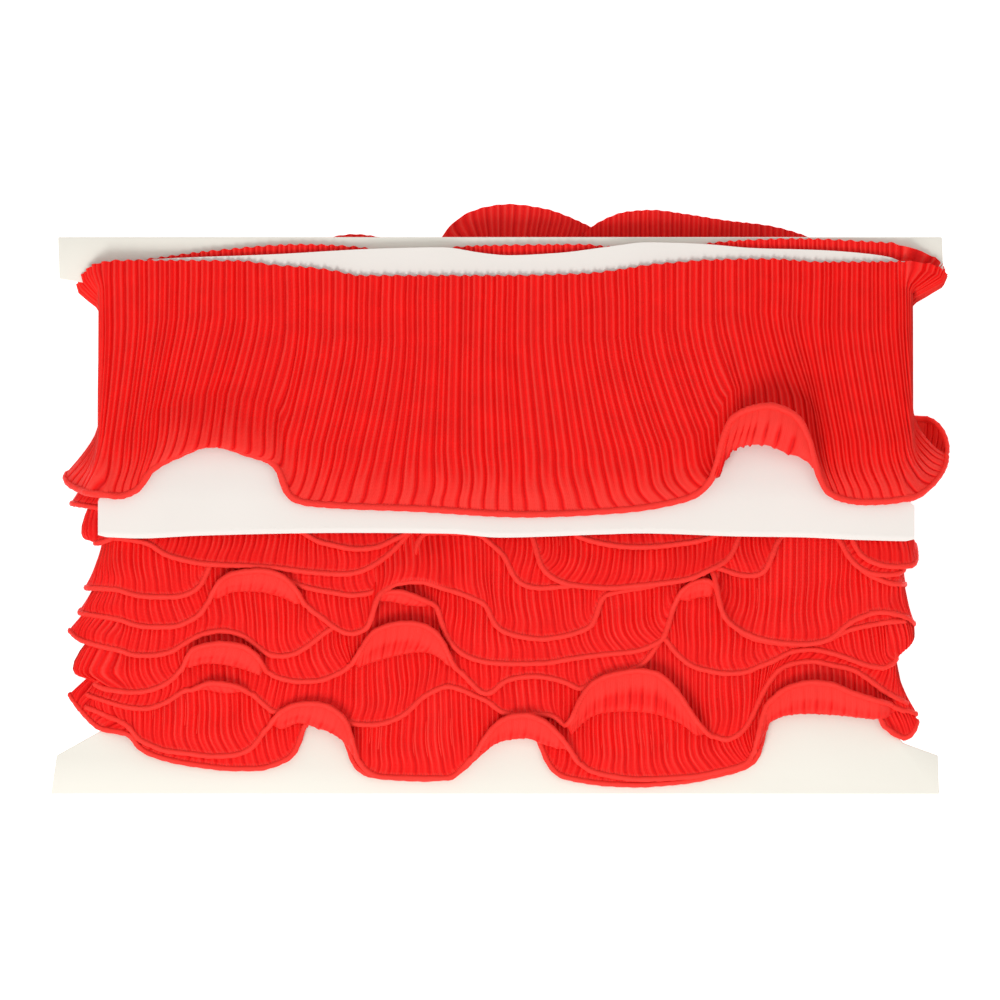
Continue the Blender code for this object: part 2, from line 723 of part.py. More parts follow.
def stack_body(collection: bpy.types.Collection) -> bpy.types.Object:
    """The turns where they are pressed together, a sleeve round the card's neck."""
    bm = bmesh.new()
    rings = []
    for station in STACK:
        outer, inner = stack_ring(station)
        rings.append([[bm.verts.new([v * MM for v in point]) for point in ring] for ring in (outer, inner)])
    for first, second in zip(rings, rings[1:]):
        for ring in (0, 1):
            here, there = first[ring], second[ring]
            for i in range(len(here)):
                j = (i + 1) % len(here)
                bm.faces.new((here[i], here[j], there[j], there[i]))
    for outer, inner in (rings[0], rings[-1]):
        share = len(outer) // len(inner)
        for corner in range(len(inner)):
            fan = [outer[(corner * share + step) % len(outer)] for step in range(share)]
            for a, b in zip(fan, fan[1:]):
                bm.faces.new((inner[corner], a, b))
            following = (corner + 1) % len(inner)
            bm.faces.new((inner[corner], fan[-1], outer[following * share], inner[following]))
    bmesh.ops.recalc_face_normals(bm, faces=bm.faces[:])
    mesh = bpy.data.meshes.new("stack")
    bm.to_mesh(mesh)
    bm.free()
    return add_object(mesh, collection)


def upper_sheet(collection: bpy.types.Collection) -> bpy.types.Object:
    """The turns' upper ends, which lie on the front of the card's flange."""
    thickness = 2.0
    height = CARD_FRONT + 2.0 * GAP + thickness / 2.0
    first, last = UPPER_EDGE[0].x, UPPER_EDGE[-1].x
    count = 24
    columns = []
    for i in range(count + 1):
        x = blend(first, last, i / count)
        columns.append([(x, read_table(UPPER_EDGE, x), height), (x, 70.0, height), (x, 50.0, height)])
    sheet = add_object(band_mesh("upper_ends", columns, closed=False), collection)
    thicken(sheet, thickness)
    return sheet


def back_sheet(collection: bpy.types.Collection) -> bpy.types.Object:
    """The turns' upper ends behind the card's flange."""
    thickness = 6.6
    height = CARD_BACK - 2.0 * GAP - thickness / 2.0
    columns = [[(x, 84.0, height), (x, 50.0, height)] for x in (-130.0, 134.0)]
    sheet = add_object(band_mesh("back_ends", columns, closed=False), collection)
    thicken(sheet, thickness)
    return sheet


def keep_outer_skin(mesh: bpy.types.Mesh) -> None:
    """Fill the small voids shut in between the turns by leaving only the outer skin."""
    bm = bmesh.new()
    bm.from_mesh(mesh)
    waiting = set(bm.verts)
    shells = []
    while waiting:
        reached = {waiting.pop()}
        front = list(reached)
        while front:
            vertex = front.pop()
            near = {edge.other_vert(vertex) for edge in vertex.link_edges} - reached
            reached |= near
            front += near
        waiting -= reached
        shells.append(reached)
    largest = max(shells, key=len)
    bmesh.ops.delete(bm, geom=[v for v in bm.verts if v not in largest], context="VERTS")
    bmesh.ops.triangulate(bm, faces=bm.faces[:])
    bm.to_mesh(mesh)
    bm.free()


def wound_ribbon(part: bpy.types.Collection, helpers: bpy.types.Collection) -> bpy.types.Object:
    """The wound turns as one solid: the stack joined with every free hem."""
    body = stack_body(helpers)
    pieces = [tier_sheet(turn, helpers) for turn in TIERS]
    pieces += [upper_sheet(helpers), back_sheet(helpers)]
    for piece in pieces:
        join = body.modifiers.new("Join " + piece.name, "BOOLEAN")
        join.operation = "UNION"
        join.solver = UNION_SOLVER
        join.object = piece
    for piece in pieces + [body]:
        piece.hide_render = True
        piece.display_type = "WIRE"
    bpy.context.view_layer.update()
    joined = body.evaluated_get(bpy.context.evaluated_depsgraph_get())
    mesh = bpy.data.meshes.new_from_object(joined)
    mesh.name = "wound_ribbon"
    keep_outer_skin(mesh)
    return add_object(mesh, part)


def interleaf(collection: bpy.types.Collection) -> bpy.types.Object:
    """The stiff strip that lies between the wound turns and the outermost one."""
    count = 28
    rungs = (1.0, 0.86, 0.7, 0.52, 0.36, 0.24, 0.16, 0.08, 0.0)
    columns = []
    for i in range(count + 1):
        share = i / count
        column = []
        for rung in rungs:
            middle = blend(-144.5, 149.0, share)
            y = blend(read_table(STRIP_BOTTOM, middle), read_table(STRIP_TOP, middle), rung)
            x = blend(read_table(STRIP_LEFT, y), read_table(STRIP_RIGHT, y), share)
            column.append((x, y, strip_height(y) + STRIP_THICKNESS / 2.0))
        columns.append(column)
    strip = add_object(band_mesh("interleaf", columns, closed=False), collection)
    thicken(strip, STRIP_THICKNESS)
    return strip


def card(collection: bpy.types.Collection) -> bpy.types.Object:
    """The flat card with its two flanges and the narrower neck between them."""
    outline = bpy.data.curves.new("card", "CURVE")
    outline.dimensions = "2D"
    outline.fill_mode = "BOTH"
    outline.extrude = CARD_THICKNESS / 2.0 * MM
    spline = outline.splines.new("POLY")
    spline.points.add(len(CARD_CORNERS) - 1)
    for point, (x, y) in zip(spline.points, CARD_CORNERS):
        point.co = (x * MM, y * MM, 0.0, 1.0)
    spline.use_cyclic_u = True
    board = bpy.data.objects.new("card", outline)
    collection.objects.link(board)
    board.location = (0.0, 0.0, (CARD_BACK + CARD_THICKNESS / 2.0) * MM)
    weld = board.modifiers.new("Weld caps", "WELD")
    weld.merge_threshold = 0.00001
    return board


def main() -> None:
    """Build the card, the strip and the ribbon, each with its own material."""
    for thing in list(bpy.data.objects):
        bpy.data.objects.remove(thing, do_unlink=True)
    part = bpy.data.collections.new("ribbon_on_card")
    helpers = bpy.data.collections.new("free_hems")
    for collection in (part, helpers):
        bpy.context.scene.collection.children.link(collection)
    looks = {
        card(part): principled("card_board", CARD_COLOUR, 0.75),
        interleaf(part): principled("strip_paper", STRIP_COLOUR, 0.6),
        wound_ribbon(part, helpers): principled("wound_pleats", RIBBON_COLOUR, 0.5),
        outer_turn(part): principled("outer_pleats", RIBBON_COLOUR, 0.5),
    }
    for thing, material in looks.items():
        thing.data.materials.append(material)


main()
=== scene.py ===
"""Looks of a pleated ribbon wound flat on a card.

Every turn of the ribbon is an open sheet, laid round the card on one rounded
path and pleated along its whole length. The turns' straight edges are at the
card's top and their wavy, rolled hems step down its front. A stiff strip lies
under the last turn. All sizes in the tables are millimetres in the part's own
frame: +X to the right and +Y to the card's top edge as its front is seen, +Z
out of the front.
"""

import logging
import math
from dataclasses import dataclass
from enum import Enum
from typing import Callable, NamedTuple

import bpy
import numpy as np
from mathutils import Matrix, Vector


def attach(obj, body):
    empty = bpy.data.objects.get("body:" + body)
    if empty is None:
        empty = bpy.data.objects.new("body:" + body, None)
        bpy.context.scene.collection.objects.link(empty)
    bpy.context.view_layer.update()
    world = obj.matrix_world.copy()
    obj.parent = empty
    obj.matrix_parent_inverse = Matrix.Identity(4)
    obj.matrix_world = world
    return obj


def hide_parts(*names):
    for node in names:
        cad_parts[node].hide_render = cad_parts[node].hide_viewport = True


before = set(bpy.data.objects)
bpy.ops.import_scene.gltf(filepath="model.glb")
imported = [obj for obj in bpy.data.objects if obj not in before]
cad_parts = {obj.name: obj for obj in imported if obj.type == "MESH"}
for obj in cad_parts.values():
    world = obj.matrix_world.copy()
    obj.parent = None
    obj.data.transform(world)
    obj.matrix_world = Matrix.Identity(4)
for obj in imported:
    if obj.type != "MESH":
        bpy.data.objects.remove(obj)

MM = 0.001
LOG = logging.getLogger("pleated_ribbon")

# The card's faces, and the layers of the turns on it.
CARD_BACK = 9.0
CARD_FRONT = 11.0
GAP = 0.3
TURNS = 11
BACK_LAYER = 0.65
FREE_LAYER = 1.15
END_LAYER = 0.85
END_CLEARANCE = 1.3
LOOSE_BELOW = -24.0
PRESSED_ABOVE = -6.0
ROOM_UNDER_STRIP = 0.6

# The strip, and the last turn over it.
STRIP_LEFT = -144.5
STRIP_RIGHT = 149.0
STRIP_THICKNESS = 1.0
STRIP_PROFILE = (
    (93.0, 14.0), (72.0, 14.8), (52.0, 16.5), (26.0, 19.1), (10.0, 20.8), (0.0, 21.4), (-15.0, 21.4),
)
SPRING_ABOVE_STRIP = 1.35
OUTER_LEFT = -144.0
OUTER_RIGHT = 148.0
OUTER_BACK = 0.65

# The ends of the winding, and how a hem that reaches past a corner goes round.
CORNER_RADIUS = 2.5
END_LENGTH = 22.0
LEAST_SIDE = 0.1
END_CROWDING = 0.7
END_BULGE = 0.3
REACH_SHARE = 0.012
OUT_PAST_CORNER = 0.5
SIDEWAYS_FROM = 0.5
BACK_FROM = -0.5
DOWNWARD_FROM = 0.02

# The section down the cloth. The flare of the top edge ends and the hem zone starts
# at a share of the way down. The handles bend the hem zone's curve.
FLARE_SHARE = 0.15
HEM_SHARE = 0.4
FLARE_DEPTH = 10.0
FLARE_HELD = 0.1
LEAST_RUN = 1.0
HEM_ZONE = 22.0
HEM_ROWS = (0.0, 0.12, 0.24, 0.36, 0.48, 0.58, 0.67, 0.75, 0.82, 0.87, 0.905, 0.93, 0.955, 0.98, 1.0)
UPPER_HANDLE = 0.55
LOWER_HANDLE = 0.2
LOWER_STANDOFF = 0.88
UNDER_STANDOFF = 0.2
FULL_CURL = 6.0
FULL_UNDER = 3.0
ROOM_IN_FOLD = 4.8
FOLD_SINK = 0.9

# The lowest cloth, a little higher for each turn further in, and the beads below it.
LOWEST = 0.14
LOWEST_STEP = 0.06
BEAD_BELOW = 0.04

# How the tables are read and softened, and how the pleats are spread and lean.
PLACES_PER_MM = 2.0
OVERLAP = 4
ROUNDING = 1.1
RUN_ROUNDING = 1.5
DRIFT_ROUNDING = 4.0
FAN_REACH = 60.0
WEIGHT_OF_WAVES = 1.4
LEAN_REACH = 62.0
BEND_REACH = 15.0
WANDER_LENGTHS = (31.0, 17.0, 9.0)
WANDER_TURNS = (5.0, -8.0, 13.0)
WANDER_AT_TOP = (0.0, 0.3)
WANDER_AT_HEM = (0.75, 1.0)
SPLAY_FADE = (0.0, 0.2)
ZIGZAG_FADE = (0.0, 0.07)
ZIGZAG_AT_BACK = 0.4
ZIGZAG_PHASE = 0.3
START_PHASE = 0.25
SECOND_SEED = 100

# Where the pleats flatten. A zone is a start and an end in millimetres: above the
# back, up from the hem, or up from the lowest line of a raised fold. The band inside
# a raised fold fades between two shares of the fold's own height.
RISE_FROM_BACK = (0.5, 5.0)
UNDER_ZONE = (15.0, 28.0)
DEEPER_ZONE = (2.5, 13.0)
SCALLOP_ZONE = (1.0, 6.0)
PRESSED_FROM = 3.0
SMOOTH_BAND = 10.0
BAND_FADE = (0.55, 0.95)
BAND_LOST_ON_ENDS = 0.75
TURN_WIDTH = 3.0
TURN_SMOOTHNESS = 0.75
LOST_IN_BAND = 0.75
LOST_IN_TURN = 0.7
LOST_IN_HEM = 0.6
MEAN_HEIGHT = 0.45

# The hem's ribbed band, the groove above its bead, and the bead. The tones are places on
# the cloth's colour ramp. The groove gets a painted shade. The smooth band, the smooth inside
# of a fold and the bead get a light tone toward the crests' painted highlight.
BAND_EDGE = (0.6, 0.5)
BAND_RELIEF = 0.12
GROOVE_ABOVE_BEAD = 0.45
GROOVE_WIDTH = 0.35
GROOVE_RELIEF = 0.08
GROOVE_SHADE = 0.12
GROOVE_LOST_INSIDE = 0.6
HEM_TONING = 0.75
INSIDE_TONING = 0.88
SMOOTH_TONE = 0.86
BEAD_TONE = 0.85
BEAD_SIDES = 8
BEAD_FLATNESS = 0.72
BEAD_IN_CLOTH = 0.4
BEAD_UNEVENNESS = 0.1
BEAD_RIPPLE = 2.1
BEAD_UV_START = 100.0

# The guessed flat width of each turn. A factor on its length that was chosen to
# suit the measured area and isn't a measure of the real cloth.
RIBBON_WIDTH = 88.0

# Steps for slopes, a guard against zero lengths, and a wave texture's own period.
ALONG_STEP = 0.05
DOWN_STEP = 0.002
TINY = 1e-9
WAVE_PERIOD = 0.314


class Fold(NamedTuple):
    """One place along a hem.

    `low` is the lowest line of the cloth, `tuck` how far the hem lies back above
    that line (below zero when it is turned under), `out` how far it stands off.
    """

    x: float
    low: float
    tuck: float = 0.0
    out: float = 1.0


class Tip(NamedTuple):
    """One place of the hem where a turn goes round an end.

    `tip` is the x that it reaches, and `share` how far round the end it is, from
    the front corner, 0, to the back one, 1.
    """

    tip: float
    low: float
    tuck: float
    share: float = 0.5


class Rim(NamedTuple):
    """One place of the top edge where a turn goes round an end."""

    tip: float
    top: float
    share: float = 0.5


class Edge(NamedTuple):
    """One place along a straight top edge, with how far it stands off."""

    x: float
    top: float
    out: float = 0.0


def folds(*rows: tuple) -> tuple:
    """Name the rows of a hem: x, low, tuck and out."""
    return tuple(Fold(*row) for row in rows)


def tips(*rows: tuple) -> tuple:
    """Name the rows of a hem round an end: tip, low, tuck and share."""
    return tuple(Tip(*row) for row in rows)


def behind(*rows: tuple) -> tuple:
    """Name the rows of a hem that lies flat at the back: x and low."""
    return tuple(Fold(x, low, 0.0, 0.0) for x, low in rows)


def edges(*rows: tuple) -> tuple:
    """Name the rows of a top edge: x, top and out."""
    return tuple(Edge(*row) for row in rows)


def rims(*rows: tuple) -> tuple:
    """Name the rows of a top edge round an end: tip, top and share."""
    return tuple(Rim(*row) for row in rows)


class Solid(Enum):
    """The solids that the pieces stand for."""

    CARD = "card"
    STRIP = "interleaf"
    WOUND = "wound_ribbon"
    OUTER = "outer_turn"


def smooth_through(places: np.ndarray, values: np.ndarray, wanted: np.ndarray) -> np.ndarray:
    """Read a smooth curve through rows that never overshoots a crest or a trough.

    Args:
        places: the rows' own places, rising.
        values: the value at each place.
        wanted: the places to read, of any shape.

    Returns:
        The values there.
    """
    step = np.diff(places)
    slope = np.diff(values) / step
    tangent = np.zeros(len(values))
    for i in range(1, len(values) - 1):
        if slope[i - 1] * slope[i] > 0.0:
            before = 2.0 * step[i] + step[i - 1]
            after = step[i] + 2.0 * step[i - 1]
            tangent[i] = (before + after) / (before / slope[i - 1] + after / slope[i])
    i = np.clip(np.searchsorted(places, wanted, side="right") - 1, 0, len(places) - 2)
    t = (wanted - places[i]) / step[i]
    start = (2 * t**3 - 3 * t**2 + 1) * values[i] + (t**3 - 2 * t**2 + t) * step[i] * tangent[i]
    return start + (3 * t**2 - 2 * t**3) * values[i + 1] + (t**3 - t**2) * step[i] * tangent[i + 1]


def read_rows(rows: tuple, wanted: np.ndarray) -> np.ndarray:
    """Read a short table's second column at places in its first, held at its ends."""
    ordered = sorted(rows, key=lambda row: row[0])
    places = np.array([row[0] for row in ordered])
    values = np.array([row[1] for row in ordered])
    return smooth_through(places, values, np.clip(wanted, places[0], places[-1]))


def ease(low: float, high: float, value: np.ndarray) -> np.ndarray:
    """Rise smoothly from 0 at `low` to 1 at `high`."""
    t = np.clip((value - low) / (high - low), 0.0, 1.0)
    return t * t * (3.0 - 2.0 * t)


def mix(first: np.ndarray, second: np.ndarray, share: np.ndarray) -> np.ndarray:
    """Mix two values, with share running from 0 to 1."""
    return first + (second - first) * share


def unit(vectors: np.ndarray) -> np.ndarray:
    """The same directions, each with a length of 1."""
    return vectors / np.maximum(np.linalg.norm(vectors, axis=-1, keepdims=True), TINY)


def strip_height(y: np.ndarray) -> np.ndarray:
    """The height of the strip's lower face, which follows the wound turns."""
    return read_rows(STRIP_PROFILE, y)


class WindingPath:
    """The way a turn takes round the card: a rectangle with rounded corners."""

    def __init__(
        self, left: float, right: float, front: Callable[[np.ndarray], np.ndarray], back: float
    ) -> None:
        """Keep the path's sizes.

        Args:
            left: the x of its left end.
            right: the x of its right end.
            front: gives the height of the front at each y.
            back: the height of the back.
        """
        self.left = left
        self.right = right
        self.front = front
        self.back = back
        self.straight = right - left - 2.0 * CORNER_RADIUS
        self.length = 2.0 * (self.straight + END_LENGTH)

    def on_front(self, x: float) -> float:
        """The place along the path of a point on the front."""
        return x - self.left - CORNER_RADIUS

    def on_back(self, x: float) -> float:
        """The place along the path of a point on the back."""
        return self.straight + END_LENGTH + (self.right - CORNER_RADIUS - x)

    def on_right(self, share: float) -> float:
        """The place along the path of a share of the right end, from its front."""
        return self.straight + share * END_LENGTH

    def on_left(self, share: float) -> float:
        """The place along the path of a share of the left end, from its front."""
        return self.length - share * END_LENGTH

    def end(self, share: np.ndarray, top: np.ndarray) -> tuple:
        """Points on an end, from the front corner to the back one.

        Args:
            share: how far round the end, 0 to 1.
            top: the height of the front there.

        Returns:
            x from the end, z, and the outward direction in x and z.
        """
        corner = CORNER_RADIUS
        side = np.maximum(top - self.back - 2.0 * corner, LEAST_SIDE)
        quarter = corner * math.pi / 2.0
        run = share * (side + 2.0 * quarter)
        upper = np.clip(run / corner, 0.0, math.pi / 2.0)
        lower = np.clip((run - quarter - side) / corner, 0.0, math.pi / 2.0)
        middle = np.clip(run - quarter, 0.0, side)
        x = corner * (np.sin(upper) - 1.0) + corner * (np.cos(lower) - 1.0)
        z = top + corner * (np.cos(upper) - 1.0) - middle - corner * np.sin(lower)
        turn = upper + lower
        return x, z, np.sin(turn), np.cos(turn)

    def locate(self, place: np.ndarray, y: np.ndarray) -> tuple:
        """The x and z of places along the path, and the outward direction there."""
        top = self.front(y)
        place = np.mod(place, self.length)
        second = self.straight + END_LENGTH
        third = second + self.straight
        right_x, right_z, right_out_x, right_out_z = self.end((place - self.straight) / END_LENGTH, top)
        left_x, left_z, left_out_x, left_out_z = self.end(1.0 - (place - third) / END_LENGTH, top)
        where = [place <= self.straight, place <= second, place <= third]
        zero, one = np.zeros_like(place), np.ones_like(place)
        going = self.left + CORNER_RADIUS + place
        returning = self.right - CORNER_RADIUS - (place - second)
        x = np.select(where, [going, self.right + right_x, returning], self.left - left_x)
        z = np.select(where, [top, right_z, self.back * one], left_z)
        out_x = np.select(where, [zero, right_out_x, zero], -left_out_x)
        out_z = np.select(where, [one, right_out_z, -one], left_out_z)
        return x, z, out_x, out_z


@dataclass(frozen=True)
class PleatStyle:
    """How the cloth is pleated.

    `share` and `height` are the section across one pleat: its valley, the fold
    that laps it, the face with its soft crease and the fall to the next valley.
    `pressed` is the section near the hem, where the faces lie flat. Lengths and
    depths are in millimetres, and the rest are shares and one power.
    """

    pitch: float = 4.15
    depth: float = 1.5
    under_depth: float = 1.5
    hem_depth: float = 0.5
    back_depth: float = 0.55
    share: tuple = (0.0, 0.07, 0.16, 0.29, 0.43, 0.55, 0.68, 0.87)
    height: tuple = (0.0, 0.4, 1.0, 0.58, 0.2, 0.46, 0.84, 0.3)
    pressed: tuple = (0.0, 0.36, 0.66, 0.52, 0.4, 0.52, 0.68, 0.32)
    unevenness: float = 0.2
    wander: float = 0.3
    zigzag: float = 0.3
    hem_band: float = 2.2
    bead_radius: float = 0.98
    pressed_reach: float = 11.0
    lean_power: float = 1.5
    bend: float = 0.4
    gather: float = 1.0


class NodeMaterial:
    """A node material in the making."""

    def __init__(self, name: str) -> None:
        """Start the material and find its shader."""
        self.material = bpy.data.materials.new(name)
        self.material.use_nodes = True
        self.shader = self.material.node_tree.nodes["Principled BSDF"]

    def fill(self, node: bpy.types.Node, inputs: dict) -> None:
        """Set or link a node's inputs.

        Args:
            node: the node.
            inputs: for each input, by name or number, a value or an output to link.
        """
        for key, value in inputs.items():
            if isinstance(value, bpy.types.NodeSocket):
                self.material.node_tree.links.new(value, node.inputs[key])
            else:
                node.inputs[key].default_value = value

    def add(self, kind: str, inputs: dict, **settings: str) -> bpy.types.Node:
        """Add a node.

        Args:
            kind: its type, without the words that all shader nodes start with.
            inputs: its inputs, as `fill` takes them.
            settings: its other settings.

        Returns:
            The new node.
        """
        node = self.material.node_tree.nodes.new("ShaderNode" + kind)
        for name, value in settings.items():
            setattr(node, name, value)
        self.fill(node, inputs)
        return node


@dataclass(frozen=True)
class RibbonFinish:
    """The ribbon's cloth: a saturated satin-like red, with painted shade and highlight on the pleats."""

    name: str = "ribbon_cloth"
    # The valley colour is painted shade, the face is the cloth's own red, and the crest is a painted
    # highlight.
    painted_valley_shade: tuple = (0.72, 0.0008, 0.0012, 1.0)
    face: tuple = (0.96, 0.0075, 0.0055, 1.0)
    painted_crest_highlight: tuple = (0.99, 0.052, 0.038, 1.0)
    roughness: float = 0.45
    sheen: float = 0.03
    specular: float = 0.14
    thread: float = 0.5
    hem_thread: float = 0.8
    hem_shade: float = 0.2

    def material(self) -> bpy.types.Material:
        """Make the material: painted shade and highlight from the pleats' height, fine threads as bump."""
        made = NodeMaterial(self.name)
        uv = made.add("UVMap", {}, uv_map="cloth").outputs["UV"]
        fold = made.add("Attribute", {}, attribute_name="fold").outputs["Fac"]
        band = made.add("Attribute", {}, attribute_name="band").outputs["Fac"]
        # The ramp paints shade in the valleys, the cloth's own red on the faces and a highlight on the
        # crests.
        ramp = made.add("ValToRGB", {"Fac": fold})
        ramp.color_ramp.elements[0].color = self.painted_valley_shade
        ramp.color_ramp.elements[1].color = self.painted_crest_highlight
        ramp.color_ramp.elements.new(0.5).color = self.face
        blotch = made.add("TexNoise", {"Vector": uv, "Scale": 0.12, "Detail": 3.0}).outputs["Fac"]
        tone = made.add("MapRange", {"Value": blotch, "To Min": 0.86, "To Max": 1.1}).outputs["Result"]
        ribs = made.add("TexWave", {"Vector": uv, "Scale": WAVE_PERIOD / self.hem_thread, "Distortion": 0.8})
        ribbed = made.add("Math", {0: band, 1: ribs.outputs["Fac"]}, operation="MULTIPLY").outputs["Value"]
        dimmed = made.add("Math", {0: ribbed, 1: -self.hem_shade, 2: tone}, operation="MULTIPLY_ADD")
        shade = made.add(
            "VectorMath", {0: ramp.outputs["Color"], "Scale": dimmed.outputs["Value"]}, operation="SCALE"
        )
        threads = {"Vector": uv, "Scale": WAVE_PERIOD / self.thread, "Distortion": 1.2, "Detail": 1.0}
        across = made.add("TexWave", threads, bands_direction="X").outputs["Fac"]
        down = made.add("TexWave", threads, bands_direction="Y").outputs["Fac"]
        weave = made.add("Math", {0: across, 1: down}, operation="ADD").outputs["Value"]
        bump = made.add("Bump", {"Strength": 0.35, "Distance": 0.00015, "Height": weave})
        made.fill(made.shader, {
            "Base Color": shade.outputs["Vector"],
            "Normal": bump.outputs["Normal"],
            "Roughness": self.roughness,
            "Sheen Weight": self.sheen,
            "Sheen Roughness": 0.4,
            "Specular IOR Level": self.specular,
        })
        return made.material


@dataclass(frozen=True)
class PaperFinish:
    """Matt card or paper with fine fibres."""

    name: str
    colour: tuple
    deeper: tuple
    roughness: float
    fibre: float

    def material(self) -> bpy.types.Material:
        """Make the material: two near tones in soft clouds and a fibre bump."""
        made = NodeMaterial(self.name)
        place = made.add("TexCoord", {}).outputs["Object"]
        clouds = made.add("TexNoise", {"Vector": place, "Scale": 14.0, "Detail": 5.0}).outputs["Fac"]
        ramp = made.add("ValToRGB", {"Fac": clouds})
        for stop, position, colour in zip(ramp.color_ramp.elements, (0.35, 0.65), (self.deeper, self.colour)):
            stop.position = position
            stop.color = colour
        fibres = made.add("TexNoise", {"Vector": place, "Scale": 900.0, "Detail": 4.0}).outputs["Fac"]
        bump = made.add("Bump", {"Strength": self.fibre, "Distance": 0.0002, "Height": fibres})
        made.fill(made.shader, {
            "Base Color": ramp.outputs["Color"],
            "Normal": bump.outputs["Normal"],
            "Roughness": self.roughness,
            "Specular IOR Level": 0.3,
        })
        return made.material


